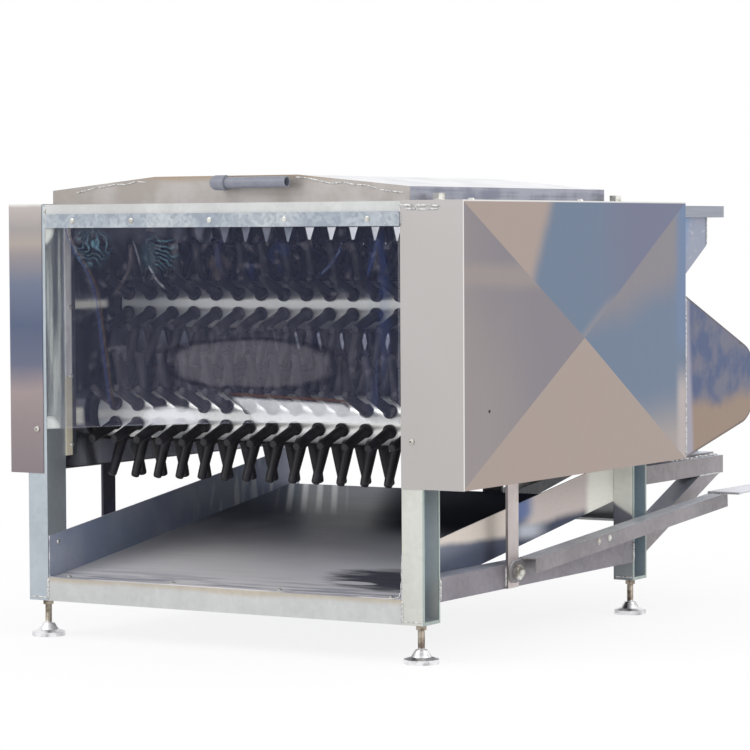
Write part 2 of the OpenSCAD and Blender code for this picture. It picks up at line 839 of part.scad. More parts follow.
module drive_belt() {
    color(rubber) placed() belt(axes[2], driven_d / 2, [motor_y, motor_z], motor_pulley_d / 2, 2);
}

// Motor along -X from its shaft shoulder, which is at the origin
module motor_frame() {
    shield = 36;
    core = motor_len - shield - fan_len;
    fin_count = 36;
    fin_h = 12;
    translate([-shield, 0, 0]) rotate([0, -90, 0]) linear_extrude(core) {
        circle(d = motor_d - 2 * fin_h);
        for (i = [0 : fin_count - 1]) rotate([0, 0, i * 360 / fin_count])
            translate([motor_d / 2 - 2 * fin_h, -1.5]) square([2 * fin_h, 3]);
    }
    rotate([0, -90, 0]) cylinder(d1 = motor_d * 0.62, d2 = motor_d - 14, h = shield);
    translate([-box_back, -box_w / 2 + 6, 0]) cube([box_l, box_w - 12, box_seat]);
    for (i = [0, 1]) translate([-foot_first - i * foot_pitch_x - 22, 0, -motor_foot])
        translate([0, -foot_pitch_y / 2 - 22, 0]) difference() {
            cube([44, foot_pitch_y + 44, 26]);
            for (s = [0, 1]) translate([22, 22 + s * foot_pitch_y, -1]) cylinder(d = 12, h = 30);
        }
}

module at_motor() translate([shoulder_x, motor_y, motor_z]) children();

module motor_body() {
    color(motor_paint) placed() at_motor() difference() {
        motor_frame();
        translate([-70, 0, 0]) rotate([0, 90, 0]) cylinder(r = motor_shaft_d / 2 + run_gap, h = 80);
    }
}

module motor_fan_cover() {
    slots = 12;
    r = motor_d / 2 - 2;
    color(motor_paint) placed() at_motor()
        translate([-motor_len + fan_len, 0, 0]) rotate([0, -90, 0]) difference() {
        rotate_extrude() polygon([
            [0, 0], [r, 0], [r, fan_len * 0.7], [r - 18, fan_len], [0, fan_len]
        ]);
        for (i = [0 : slots - 1]) rotate([0, 0, i * 360 / slots])
            translate([32, -5, fan_len - 6]) cube([44, 10, 10]);
    }
}

module terminal_box() {
    color(motor_paint) placed() at_motor() translate([-box_back, -box_w / 2, box_seat]) {
        cube([box_l, box_w, 40]);
        translate([-4, -4, 40]) cube([box_l + 8, box_w + 8, 12]);
        translate([box_l / 2, 0, 20]) rotate([90, 0, 0]) cylinder(d = 26, h = 16);
    }
}

module motor_shaft() {
    color(zinc) placed() at_motor() translate([-68, 0, 0]) rotate([0, 90, 0])
        cylinder(d = motor_shaft_d, h = 68 + plane_end(2) - shoulder_x);
}

// Plate across the bracket arms and two rails under the motor's feet
module motor_base() {
    reach = foot_pitch_y / 2 + 34;
    depth = min(2 * reach, arm_y - motor_y + reach);
    rail_w = 48;
    color(galvanised) placed() translate([0, motor_y - reach, base_z]) {
        translate([inner_arm_x, 0, 0]) cube([arm_x + arm_w / 2 - inner_arm_x, depth, base_t]);
        for (i = [0, 1])
            translate([shoulder_x - foot_first - i * foot_pitch_x - rail_w / 2, 0, base_t])
                cube([rail_w, depth, rail_top - base_z - base_t]);
    }
}

// Arm behind the machine with its web outside, an upright down to foot_z and an angle as a brace
module bracket(x, foot_z) {
    leg = 36;
    near = body_d + section_t;
    far = [arm_y - 113, arm_y - 18];
    rise = (arm_z - foot_z - leg) / (far[0] - near);
    translate([x + arm_w, arm_y, arm_z]) rotate([90, 0, 0]) linear_extrude(arm_y - body_d)
        mirror([1, 0]) channel(arm_w, arm_h, section_t);
    translate([x, body_d, foot_z]) cube([arm_w, section_t, arm_z - foot_z]);
    along_x(x + arm_w - section_t, section_t) polygon([
        [near, foot_z], [near, foot_z + leg], [far[0], arm_z], [far[1], arm_z]
    ]);
    along_x(x, arm_w) polygon([
        [near, foot_z + leg - section_t], [near, foot_z + leg],
        [far[0], arm_z], [far[0] + section_t / rise, arm_z]
    ]);
}

module motor_brackets() {
    color(galvanised) placed() {
        bracket(arm_x, brace_z);
        bracket(inner_arm_x, rear_beam_top - beam_h);
    }
}

// Front view of the lid, drawn in by inset
module lid_outline(inset) {
    half = half_in + plate_t / 2 - inset;
    wall = frame_top + lid_wall - inset;
    peak = frame_top + lid_peak - inset;
    polygon([
        [-half, frame_top - (inset > 0 ? 1 : 0)], [half, frame_top - (inset > 0 ? 1 : 0)],
        [half, wall], [ridge_w / 2, peak], [-ridge_w / 2, peak], [-half, wall]
    ]);
}

// Lid bent from sheet, open below, with a hole in its front for the water
module lid() {
    color(stainless) placed() difference() {
        translate([0, lid_y + lid_len, 0]) rotate([90, 0, 0]) linear_extrude(lid_len) lid_outline(0);
        translate([0, lid_y + lid_len - skin, 0]) rotate([90, 0, 0])
            linear_extrude(lid_len - 2 * skin) lid_outline(skin);
        translate([0, lid_y - 1, pipe_z]) rotate([-90, 0, 0]) cylinder(d = pipe_d + 0.6, h = skin + 2);
    }
}

module water_pipe() {
    start = elbow_d * 0.75;
    color(pvc) placed() difference() {
        rod_x(start, pipe_y, pipe_z, pipe_d, pipe_reach - start);
        rod_x(start - 1, pipe_y, pipe_z, pipe_d - 2 * pipe_wall, pipe_reach - start + 2);
    }
}

// Moulded elbow that turns the water from +X into the lid
module pipe_elbow() {
    start = elbow_d * 0.75;
    bore = pipe_d - 2 * pipe_wall;
    color(pvc) placed() translate([0, pipe_y, pipe_z]) difference() {
        union() {
            rod_x(0, 0, 0, elbow_d, start);
            sphere(d = elbow_d);
            rotate([-90, 0, 0]) cylinder(d = elbow_d, h = elbow_reach);
        }
        rod_x(0, 0, 0, bore, start + 1);
        rotate([-90, 0, 0]) cylinder(d = bore, h = elbow_reach + 1);
    }
}

// Feed from the elbow, drop and cross bar with spray holes below
module spray_bar() {
    holes = floor(spray_w / finger_pitch) - 1;
    color(pvc) placed() difference() {
        union() {
            translate([0, lid_y, pipe_z]) rotate([-90, 0, 0]) cylinder(d = pipe_d, h = spray_y - lid_y);
            translate([0, spray_y, spray_z]) cylinder(d = pipe_d + 4, h = pipe_z - spray_z + pipe_d * 0.55);
            rod_x(-spray_w / 2, spray_y, spray_z, pipe_d, spray_w);
        }
        for (i = [0 : holes - 1])
            translate([(i - (holes - 1) / 2) * finger_pitch, spray_y, spray_z - pipe_d])
                cylinder(d = 4, h = pipe_d);
    }
}

// Side view of the hopper, drawn in by inset
module hopper_outline(inset) {
    drop = inset * sqrt(1 + hopper_tan * hopper_tan);
    past = inset > 0 ? 1 : 0;
    rear = hopper_y - inset;
    polygon([
        [body_d - past, hopper_front_z - past * hopper_tan + drop],
        [rear, hopper_rear_z - inset * hopper_tan + drop],
        [rear, hopper_top + past], [body_d - past, hopper_top + past]
    ]);
}

module feed_hopper() {
    color(stainless) placed() difference() {
        along_x(-hopper_half, 2 * hopper_half) hopper_outline(0);
        along_x(-hopper_half + sheet_t, 2 * (hopper_half - sheet_t)) hopper_outline(sheet_t);
    }
}

// Top view of the rim rail's outer or inner edge
module rim_outline(half, rear, r) {
    translate([-half, body_d - 1]) square([2 * half, rear - r - body_d + 1]);
    translate([-half + r, body_d]) square([2 * (half - r), rear - body_d]);
    for (s = [-1, 1]) translate([s * (half - r), rear - r]) circle(r = r);
}

module hopper_rim() {
    color(stainless) placed() translate([0, 0, hopper_top - rim_h]) linear_extrude(rim_h) difference() {
        rim_outline(hopper_half + rim_w, rim_y, rim_r);
        rim_outline(hopper_half, rim_y - rim_w, rim_r - rim_w);
        translate([-hopper_half - rim_w - 1, body_d - 2]) square([2 * (hopper_half + rim_w + 1), 2]);
    }
}

// Sloped sheet from the hopper floor to the rear lower roller
module feed_chute() {
    color(stainless) placed() along_x(-half_in, inner_w) polygon([
        [chute_y, chute_floor(chute_y)], [body_d, hopper_front_z],
        [body_d, hopper_front_z + sheet_t], [chute_y, chute_floor(chute_y) + sheet_t]
    ]);
}

// Lever frame: origin at the pivot, +Y along the lever
module on_lever() translate([0, pivot_y, pivot_z]) rotate([lever_tilt, 0, 0]) children();

// Crank plate on the pivot, welded under an angle iron
module pedal_lever() {
    color(galvanised) placed() on_lever() difference() {
        union() {
            rod_x(lever_x, 0, 0, 40, crank_t);
            translate([lever_x, 0, -12]) cube([crank_t, 150, 12 + lever_top - lever_t]);
            translate([lever_x, iron_y, lever_top - lever_t]) cube([lever_w, lever_len - iron_y, lever_t]);
            translate([lever_x + lever_w - lever_t, iron_y, lever_top - lever_h])
                cube([lever_t, lever_len - iron_y, lever_h]);
        }
        rod_x(lever_x - 1, 0, 0, pivot_d + 2 * run_gap, crank_t + 2);
    }
}

// Level plate whose front end is a wedge on the lever
module tread_plate() {
    color(galvanised) placed() along_x(lever_x, tread_w) polygon([
        lever_end - tread_lap * [1, tan(lever_tilt)], lever_end, lever_end + [tread_len, 0],
        lever_end + [tread_len, tread_t], lever_end + [-tread_lap, tread_t]
    ]);
}

// Stud on the right bottom rail, with a hex head outside the crank plate
module pivot_bolt() {
    head_x = lever_x + crank_t + 0.5;
    color(zinc) placed() {
        rod_x(post_out, pivot_y, pivot_z, pivot_d, head_x - post_out);
        translate([head_x, pivot_y, pivot_z]) rotate([0, 90, 0])
            cylinder(d = pivot_d * 1.75, h = pivot_d * 0.6, $fn = 6);
    }
}

// Pad, bell and stem of a levelling foot
module foot(x, y) {
    color(zinc) placed() translate([x, y, 0]) rotate_extrude() polygon([
        [0, 0], [pad_d / 2, 0], [pad_d / 2, pad_h], [pad_d * 0.3, pad_h + 4],
        [stem_d * 0.9, bell_h], [stem_d / 2, bell_h],
        [stem_d / 2, leg_z + end_plate_t + stem_up], [0, leg_z + end_plate_t + stem_up]
    ]);
}

module front_left_foot() foot(-foot_x, foot_y[0]);

module front_right_foot() foot(foot_x, foot_y[0]);

module rear_left_foot() foot(-foot_x, foot_y[1]);

module rear_right_foot() foot(foot_x, foot_y[1]);

module foot_lock_nuts() {
    color(zinc) placed() both_sides() for (y = foot_y) translate([foot_x, y, leg_z - nut_h]) difference() {
        cylinder(d = stem_d * 1.75, h = nut_h, $fn = 6);
        translate([0, 0, -1]) cylinder(r = stem_d / 2 + run_gap, h = nut_h + 2);
    }
}

posts();
front_beams();
rear_beams();
bottom_rails();
top_rails();
left_side_plate();
right_side_plate();
rear_panel();
edge_strips();
panel_screws();
hanger_bars();
feather_tray();
curtain_bar();
bar_rivets();
curtain_strip();
curtain();
left_cover();
right_cover();
belt_guard();
top_bolts();
left_bearings();
right_bearings();
end_seals();
lower_front_roller();
lower_front_fingers();
lower_front_pulley();
upper_front_roller();
upper_front_fingers();
upper_front_pulley();
lower_rear_roller();
lower_rear_fingers();
lower_rear_pulley();
driven_pulley();
upper_rear_roller();
upper_rear_fingers();
upper_rear_pulley();
transfer_belts();
drive_belt();
motor_body();
motor_fan_cover();
terminal_box();
motor_shaft();
motor_pulley();
motor_base();
motor_brackets();
lid();
water_pipe();
pipe_elbow();
spray_bar();
feed_hopper();
hopper_rim();
feed_chute();
pedal_lever();
tread_plate();
pivot_bolt();
front_left_foot();
front_right_foot();
rear_left_foot();
rear_right_foot();
foot_lock_nuts();
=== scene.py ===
# %% [markdown]
# # Dressing a horizontal roller plucker
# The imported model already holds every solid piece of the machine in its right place, in metres.
# This lesson keeps those pieces, gives each a finish that looks like the real one, and adds what
# solids show poorly: a clear curtain with folds, soft rubber fingers, weld beads and small fasteners.

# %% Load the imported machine
import math
import random

import bpy
import numpy as np
from mathutils import Matrix, Vector


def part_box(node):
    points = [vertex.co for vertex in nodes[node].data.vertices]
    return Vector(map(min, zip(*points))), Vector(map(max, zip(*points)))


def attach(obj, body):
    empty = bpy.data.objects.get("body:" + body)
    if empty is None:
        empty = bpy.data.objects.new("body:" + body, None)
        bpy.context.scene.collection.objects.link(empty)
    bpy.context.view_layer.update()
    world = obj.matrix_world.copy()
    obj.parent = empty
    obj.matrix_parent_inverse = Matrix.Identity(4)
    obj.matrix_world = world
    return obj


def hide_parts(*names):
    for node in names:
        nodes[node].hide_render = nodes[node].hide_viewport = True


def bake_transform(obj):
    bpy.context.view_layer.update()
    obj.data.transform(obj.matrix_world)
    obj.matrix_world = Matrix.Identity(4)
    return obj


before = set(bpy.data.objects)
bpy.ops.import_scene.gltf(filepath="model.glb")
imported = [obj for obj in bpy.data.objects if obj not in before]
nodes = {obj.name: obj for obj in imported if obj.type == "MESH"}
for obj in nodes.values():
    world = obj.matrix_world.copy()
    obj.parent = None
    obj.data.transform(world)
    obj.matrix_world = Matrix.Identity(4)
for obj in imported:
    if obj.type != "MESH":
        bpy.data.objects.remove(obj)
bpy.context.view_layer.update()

# %% [markdown]
# ## A frame to measure in
# The maker's drawing counts millimetres from the middle of the front, at floor level. The row frame
# counts metres from under the middle of the whole box. One helper turns the first into the second,
# and takes its zero from the posts and beams, so nothing has to be fitted by eye.

# %% Machine millimetres to row metres
beam_low, beam_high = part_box("front_beams")
post_low, post_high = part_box("posts")
FRONT_MIDDLE = Vector(((beam_low.x + beam_high.x) / 2, post_low.y, 0))


def at(x, y, z):
    """A point given in the drawing's millimetres, in row metres."""
    return FRONT_MIDDLE + Vector((x, y, z)) / 1000


HALF_IN = (beam_high.x - beam_low.x) * 500
BODY_D = (post_high.y - post_low.y) * 1000
FRAME_TOP = post_high.z * 1000
LEG_Z = post_low.z * 1000
POST_W = (post_high.x - post_low.x) * 500 - HALF_IN
print("clear width", round(2 * HALF_IN, 1), "mm, frame depth", round(BODY_D, 1), "mm")

# %% [markdown]
# ## Camera
# The photograph was taken from the front right with a long lens, a little below eye level. Its
# position was solved from the machine's straight edges, so the camera is placed by numbers: a
# heading, a slight tilt down and a trace of roll.

# %% Place the camera
CAMERA_PLACE = at(3142.1, -4692.9, 751.2)
HEADING, TILT, ROLL = (math.radians(a) for a in (30.94, 2.603, -0.294))
SENSOR_MM, FOCAL_MM, SIGHT_M = 36, 151.29, 100

forward = Vector((-math.sin(HEADING) * math.cos(TILT), math.cos(HEADING) * math.cos(TILT), -math.sin(TILT)))
right = Vector((math.cos(HEADING), math.sin(HEADING), 0))
up = right.cross(forward)
rolled_right = right * math.cos(ROLL) + up * math.sin(ROLL)
rolled_up = up * math.cos(ROLL) - right * math.sin(ROLL)

lens = bpy.data.cameras.new("photo_camera")
lens.sensor_width, lens.lens, lens.clip_end = SENSOR_MM, FOCAL_MM, SIGHT_M
camera = bpy.data.objects.new("photo_camera", lens)
turn = Matrix((rolled_right, rolled_up, -forward)).transposed().to_4x4()
camera.matrix_world = Matrix.Translation(CAMERA_PLACE) @ turn
bpy.context.scene.collection.objects.link(camera)
bpy.context.scene.camera = camera
bpy.context.scene.view_settings.view_transform = "Standard"
print("camera", round((CAMERA_PLACE - at(0, 0, 500)).length, 2), "m from the curtain")

# %% [markdown]
# ## Writing shaders as sums
# A finish is a small sum: so much brightness from the grain, so much from a stain. Drawing that as
# boxes and wires is slow to read, so one class wraps a socket and lets plain Python arithmetic add
# the Math nodes. A second class makes every other node from its type, settings and sockets.


# %% Node arithmetic
class Value:
    """An output socket that can be added, scaled and compared."""

    def __init__(self, tree, socket):
        self.tree, self.socket = tree, socket

    def math(self, operation, *terms):
        return self.tree.node("Math", {"operation": operation}, dict(enumerate(terms)))

    def __add__(self, other):
        return self.math("ADD", self, other)

    def __sub__(self, other):
        return self.math("SUBTRACT", self, other)

    def __rsub__(self, other):
        return self.math("SUBTRACT", other, self)

    def __mul__(self, other):
        return self.math("MULTIPLY", self, other)

    def __truediv__(self, other):
        return self.math("DIVIDE", self, other)

    def __pow__(self, other):
        return self.math("POWER", self, other)

    def __abs__(self):
        return self.math("ABSOLUTE", self)

    def above(self, other):
        return self.math("GREATER_THAN", self, other)

    def larger(self, other):
        return self.math("MAXIMUM", self, other)

    def smaller(self, other):
        return self.math("MINIMUM", self, other)

    def fraction(self):
        return self.math("FRACT", self)

    __radd__ = __add__
    __rmul__ = __mul__


def set_stops(elements, stops):
    """Fills a colour ramp from (place, colour) pairs."""
    while len(elements) < len(stops):
        elements.new(1.0)
    for element, (place, colour) in zip(elements, stops):
        element.position = place
        element.color = (*colour, 1)


class Nodes:
    """A node tree that is filled by calls."""

    def __init__(self, tree):
        self.tree = tree
        tree.nodes.clear()

    def node(self, kind, settings=None, sockets=None, out=0):
        made = self.tree.nodes.new("ShaderNode" + kind)
        for key, value in (settings or {}).items():
            if key == "stops":
                set_stops(made.color_ramp.elements, value)
            else:
                setattr(made, key, value)
        for key, value in (sockets or {}).items():
            socket = made.inputs[key]
            if isinstance(value, Value):
                self.tree.links.new(value.socket, socket)
            elif socket.type == "RGBA" and len(value) == 3:
                socket.default_value = (*value, 1)
            else:
                socket.default_value = value
        if out is None:
            return None
        if isinstance(out, (tuple, list)):
            return [Value(self, made.outputs[o]) for o in out]
        return Value(self, made.outputs[out])

    def mix(self, a, b, factor):
        return self.node("Mix", {"data_type": "RGBA"}, {0: factor, 6: a, 7: b}, out=2)

    def layers(self, colour, *coats):
        """Lays coats, each a colour and its share, over a first colour, one after the other."""
        for coat, share in coats:
            colour = self.mix(colour, coat, share)
        return colour

    def point(self, stretch=None):
        place = self.node("TexCoord", out="Object")
        if stretch is None:
            return place
        return self.node("VectorMath", {"operation": "MULTIPLY"}, {0: place, 1: stretch})

    def xyz(self):
        return self.node("SeparateXYZ", {}, {0: self.point()}, out=(0, 1, 2))

    def facing(self):
        """How far a face looks along X, Y and Z of its own piece."""
        return self.node("SeparateXYZ", {}, {0: self.node("TexCoord", out="Normal")}, out=(0, 1, 2))

    def noise(self, scale, detail=3, stretch=None):
        return self.node("TexNoise", {}, {"Vector": self.point(stretch), "Scale": scale, "Detail": detail})

    def cells(self, scale):
        tint = self.node("TexVoronoi", {}, {"Vector": self.point(), "Scale": scale}, out="Color")
        return self.node("SeparateColor", {}, {0: tint})

    def ramp(self, value, *stops):
        return self.node("ValToRGB", {"stops": stops}, {0: value})

    def darken(self, colour, share):
        return self.mix(colour, (0, 0, 0), share)

    def step(self, value, low, high):
        """A smooth rise from 0 at low to 1 at high."""
        return self.node("MapRange", {"interpolation_type": "SMOOTHSTEP"}, {0: value, 1: low, 2: high})

    def fall(self, value, low, high):
        """A smooth drop from 1 at low to 0 at high."""
        return 1 - self.step(value, low, high)


class Finish(Nodes):
    """A material whose surface is one principled shader."""

    def __init__(self, name):
        self.material = bpy.data.materials.new(name)
        self.material.use_nodes = True
        super().__init__(self.material.node_tree)

    def surface(self, colour, roughness, metallic=0.0, height=None, depth=0.0005, **fixed):
        sockets = {"Base Color": colour, "Roughness": roughness, "Metallic": metallic}
        if height is not None:
            sockets["Normal"] = self.node("Bump", {}, {"Height": height, "Distance": depth, "Strength": 1.0})
        sockets.update({key.replace("_", " "): value for key, value in fixed.items()})
        return self.show(self.node("BsdfPrincipled", {}, sockets))

    def show(self, shader):
        self.node("OutputMaterial", {}, {"Surface": shader}, out=None)
        return self


def tone(red, green, blue):
    """A display colour from 0 to 255, as the linear colour that shaders use."""
    return tuple((c / 255 / 12.92) if c <= 10 else ((c / 255 + 0.055) / 1.055) ** 2.4 for c in (red, green, blue))


def dress(finish, *names):
    for name in names:
        slots = nodes[name].data.materials
        slots.clear()
        slots.append(finish.material)


print("shader helpers ready")

# %% [markdown]
# ## Studio
# The photograph is a cut-out on white. A white world gives that background, and metal and clear
# sheet see the same white. The light that falls on the machine is set apart from what the camera
# sees, so the background can be white while colours still render about as they are written. Near the
# machine the floor is plain and keeps a soft shadow; further out it melts into the background.

# %% World, floor and lamps
SKY_FILL = 0.85
FLOOR_NEAR, FLOOR_FAR, FLOOR_WHITE = 1.0, 2.2, 0.86
FLOOR_SIZE, FLOOR_DROP = 40, 0.0004

world = bpy.data.worlds.new("studio")
world.use_nodes = True
bpy.context.scene.world = world
sky = Nodes(world.node_tree)


def seen_rays(tree):
    """1 for rays that show the background, by sight, in metal or through clear sheet."""
    rays = tree.node("LightPath", out=("Is Camera Ray", "Is Glossy Ray", "Is Transmission Ray"))
    return rays[0].larger(rays[1]).larger(rays[2])


glow = sky.node("Background", {}, {"Color": (1, 1, 1), "Strength": SKY_FILL + (1 - SKY_FILL) * seen_rays(sky)})
sky.node("OutputWorld", {}, {"Surface": glow}, out=None)

pale_floor = Finish("pale_floor")
floor_x, floor_y = pale_floor.xyz()[:2]
distance = (floor_x * floor_x + floor_y * floor_y) ** 0.5
lit = pale_floor.node("BsdfDiffuse", {}, {"Color": (0.93, 0.93, 0.93)})
white = pale_floor.node("Emission", {}, {"Color": (1, 1, 1), "Strength": 1.0})
melt = pale_floor.step(distance, FLOOR_NEAR, FLOOR_FAR)
far = (FLOOR_WHITE + (1 - FLOOR_WHITE) * melt) * seen_rays(pale_floor)
pale_floor.show(pale_floor.node("MixShader", {}, {0: far, 1: lit, 2: white}))

floor_mesh = bpy.data.meshes.new("studio_floor")
floor_mesh.from_pydata(
    [(x * FLOOR_SIZE, y * FLOOR_SIZE, -FLOOR_DROP) for x, y in ((-1, -1), (1, -1), (1, 1), (-1, 1))],
    [], [(0, 1, 2, 3)])
floor_mesh.materials.append(pale_floor.material)
floor = bpy.data.objects.new("studio_floor", floor_mesh)
bpy.context.scene.collection.objects.link(floor)


def soft_lamp(name, place, aim, size, watts):
    lamp = bpy.data.lights.new(name, "AREA")
    lamp.size, lamp.energy = size, watts
    stand = bpy.data.objects.new(name, lamp)
    stand.location = place
    stand.rotation_euler = (Vector(aim) - Vector(place)).to_track_quat("-Z", "Y").to_euler()
    bpy.context.scene.collection.objects.link(stand)


soft_lamp("key_lamp", (-2.0, -4.2, 3.6), (0, -0.4, 0.5), 2.6, 90)
soft_lamp("side_lamp", (4.2, -0.6, 2.8), (0.4, 0, 0.5), 2.4, 50)
soft_lamp("rear_lamp", (0.6, 4.0, 3.2), (0, 0.5, 0.6), 2.6, 40)
print("studio: fill", SKY_FILL, "and 3 soft lamps")

# %% [markdown]
# ## Galvanised iron
# Posts, beams, rails and levers are dipped in zinc. The skin is a pale, cloudy grey with faint
# crystals and run marks from the bath. Outdoors each side mirrors something else, and these
# reflections are painted into the colour: the fronts a pale sky, the sides a hedge or the ground, and
# the tops a painted light. One function takes a tone for fronts, sides and tops, reads from the
# surface itself which way it looks, and lays clouds, runs and crystals over the tone. Parts that stand
# in shade get painted shade.


# %% Galvanised finish
RUST_WATER = tone(186, 166, 128)
SHADE_LOW, SHADE_HIGH = tone(150, 156, 160), tone(124, 126, 138)
REAR_FROM, CHANNEL_LIP, CHANNEL_END = 0.4, 0.03, 0.1


def dipped(name, front, side, top, *names, patchy=0.3, shine=0.7, left=None, left_of=0, rim=None,
           rear=None, ochre=None, inside=None):
    """Zinc skin on the named pieces, with one tone for each way that a face can look; these tones are
    painted reflections, and the top tone is painted light. What stands left of left_of may have a tone
    of its own, which is painted shade. The rear may have tones of its own: a painted lit front above a
    slanting line, painted shade low down, and painted reflections on its sides. The outermost rim may
    have a tone of its own, and so may the inside of the post channels, front and rear, with painted light
    and shade. Near the height ochre rust water has stained the zinc."""
    finish = Finish(name)
    spangle, cloud = finish.cells(90), finish.noise(7, 5)
    runs = finish.noise(26, 4, (1, 0.25, 0.25))
    x, y, z = finish.xyz()
    across, deep = x - FRONT_MIDDLE.x, y - FRONT_MIDDLE.y
    look_x, look_y, look_z = finish.facing()
    # Painted light and shade at the rear: a lit front above a slanting line, painted shade below it, and painted
    # reflections on the sides.
    if rear:
        behind = deep.above(REAR_FROM)
        shade = finish.mix(SHADE_LOW, SHADE_HIGH, finish.step(z, 0.14, 0.19))
        rear_front = finish.mix(shade, rear[0], finish.step(z + across * 0.55 - 0.43, -0.006, 0.004))
        front, side = finish.mix(front, rear_front, behind), finish.mix(side, rear[1], behind)
        shine = shine - behind * abs(look_y) * 0.66
    # Painted light and shade inside the post channels.
    if inside:
        at_rear = deep.above(CHANNEL_END)
        hollow = deep.above(CHANNEL_LIP) * (1 - at_rear) + deep.above(BODY_D / 1000 - CHANNEL_LIP)
        front = finish.mix(front, finish.mix(*inside, at_rear), hollow)
    # Side and top tones: painted reflections and painted light.
    colour = finish.layers(
        front, (side, finish.step(abs(look_x), 0.5, 0.8)), (top, finish.step(look_z, 0.5, 0.8)))
    if ochre:
        near = finish.fall(abs(z - ochre + (cloud - 0.5) * 0.02), 0.001, 0.012)
        colour = finish.mix(colour, RUST_WATER, near * 0.5)
    if rim:
        colour = finish.mix(colour, rim, abs(across).above((HALF_IN + POST_W - 2) / 1000))
    # Painted shade on what stands left of left_of.
    if left:
        colour = finish.mix(left, colour, across.above(left_of))
    stain = finish.step(cloud * 0.6 + runs * 0.4, 0.36, 0.66)
    colour = finish.darken(colour, (1 - stain) * patchy + spangle * 0.05)
    finish.surface(colour, 0.3 + 0.1 * spangle + 0.2 * cloud, shine, spangle * 0.2 + runs * 0.8, 0.0003)
    dress(finish, *names)


# The side, top, left, rear and inside tones below are painted reflections, painted light and painted shade.
DULL_FRONT = tone(196, 193, 192)
dipped("zinc_of_posts", tone(214, 215, 208), tone(150, 174, 194), tone(200, 206, 212), "posts",
       patchy=0.12, left=tone(188, 197, 204), rim=tone(178, 190, 186),
       rear=(tone(254, 255, 248), tone(124, 150, 172)), inside=(tone(222, 226, 226), tone(156, 174, 186)))
dipped("zinc_of_beams", tone(208, 209, 209), tone(170, 176, 178), tone(208, 212, 218),
       "front_beams", "rear_beams", patchy=0.12, ochre=0.111)
dipped("zinc_of_rails", DULL_FRONT, tone(147, 142, 150), tone(214, 220, 234),
       "bottom_rails", "top_rails", shine=0.55)
dipped("zinc_of_motor_base", DULL_FRONT, tone(166, 160, 163), tone(204, 210, 224), "motor_base")
dipped("zinc_of_brackets", DULL_FRONT, tone(166, 160, 163), tone(204, 210, 224), "motor_brackets",
       left=tone(72, 73, 78), left_of=0.2)
dipped("zinc_of_lever", DULL_FRONT, tone(148, 143, 147), tone(226, 231, 240), "pedal_lever", shine=0.35)
dipped("zinc_of_bars", tone(158, 149, 150), tone(216, 206, 204), tone(180, 180, 184), "hanger_bars",
       patchy=0.2, left=tone(74, 70, 82))
dipped("zinc_of_tread", tone(214, 214, 220), tone(206, 206, 214), tone(222, 222, 230), "tread_plate", patchy=0.2)

clamp_zinc = Finish("clamp_bar_zinc")
flake, patch = clamp_zinc.cells(150), clamp_zinc.noise(12, 5)
light = clamp_zinc.step(flake * 0.2 + patch * 0.8, 0.3, 0.75)
colour = clamp_zinc.mix(tone(154, 162, 174), tone(192, 198, 202), light)
clamp_zinc.surface(colour, 0.3 + 0.2 * flake, 0.9, flake, 0.0002)
dress(clamp_zinc, "curtain_bar")
print("galvanised finish on 11 pieces")

# %% [markdown]
# ## Brushed sheet with a cross break
# The right cover is stainless sheet, brushed up and down. Its big face is folded along both
# diagonals, so its four facets look four different ways and pick up different reflections: warm
# ground, cool sky. The folds are in the solid; the reflections are painted into the colour facet by
# facet, from the place on the sheet alone, so that they stay put in every view. Bright lines along the
# top and front edges are painted highlights, and faces that look up get a painted lighter tone.


# %% Brushed sheet helpers
def brushed(name, stretch=(700, 700, 9)):
    """A new finish and its brush grain, drawn out along the axis with the small stretch."""
    finish = Finish(name)
    return finish, finish.noise(1, 2, stretch)


# Painted reflections of warm ground and cool sky, a painted highlight for bright edges, and painted light for faces
# that look up.
WARM = tone(171, 155, 147)
COOL = tone(110, 126, 149)
MAUVE = tone(136, 131, 138)
PAINTED_EDGE_HIGHLIGHT = tone(232, 231, 229)
PAINTED_TOP_LIGHT = tone(196, 194, 193)
BRUSH_DEPTH = 0.00002

# %% Right cover
low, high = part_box("right_cover")
mid_y, half_y = (low.y + high.y) / 2, (high.y - low.y) / 2
mid_z, half_z = (low.z + high.z) / 2, (high.z - low.z) / 2

sheet, grain = brushed("right_cover_sheet")
y, z = sheet.xyz()[1:]
waver = sheet.noise(5, 3) - 0.5
u, v = (y - mid_y) / half_y, (z - mid_z) / half_z
# Each facet's tones are painted reflections; the last coats are painted edge highlights and painted light on faces
# that look up.
front_facet = sheet.layers(
    MAUVE,
    (tone(152, 144, 144), sheet.step(0 - u - v * 0.3 + waver * 0.4, 0.35, 1.1)),
    (tone(158, 148, 145), sheet.fall(abs(v - 0.47 + waver * 0.1), 0.02, 0.13) * 0.8))
top_facet = sheet.layers(
    WARM,
    (COOL, sheet.step(u - (v - 1) * 0.3 + waver * 0.12, -0.33, -0.2)),
    (tone(116, 120, 144), sheet.step(u + waver * 0.25, 0.05, 0.5)),
    (tone(152, 146, 146), sheet.fall(v - u, 0.0, 0.1) * sheet.fall(v, 0.2, 0.36) * 0.6))
rear_facet = sheet.layers(
    COOL,
    (tone(138, 134, 141), sheet.step(v - u * 0.35 + waver * 0.3, -0.12, 0.22)),
    (tone(166, 157, 154), sheet.step(0 - v + waver * 0.2, 0.4, 0.85)),
    (tone(112, 132, 164), sheet.step(u + waver * 0.02, 0.86, 0.96) * sheet.step(v, -0.25, 0.0)),
    (tone(184, 175, 174), sheet.step(u, 0.88, 0.95) * sheet.step(0 - v, 0.2, 0.5)))
low_facet = sheet.mix(WARM, tone(168, 155, 148), sheet.noise(9, 3))
flange = sheet.mix(tone(180, 176, 174), tone(192, 189, 188), sheet.noise(3, 2))
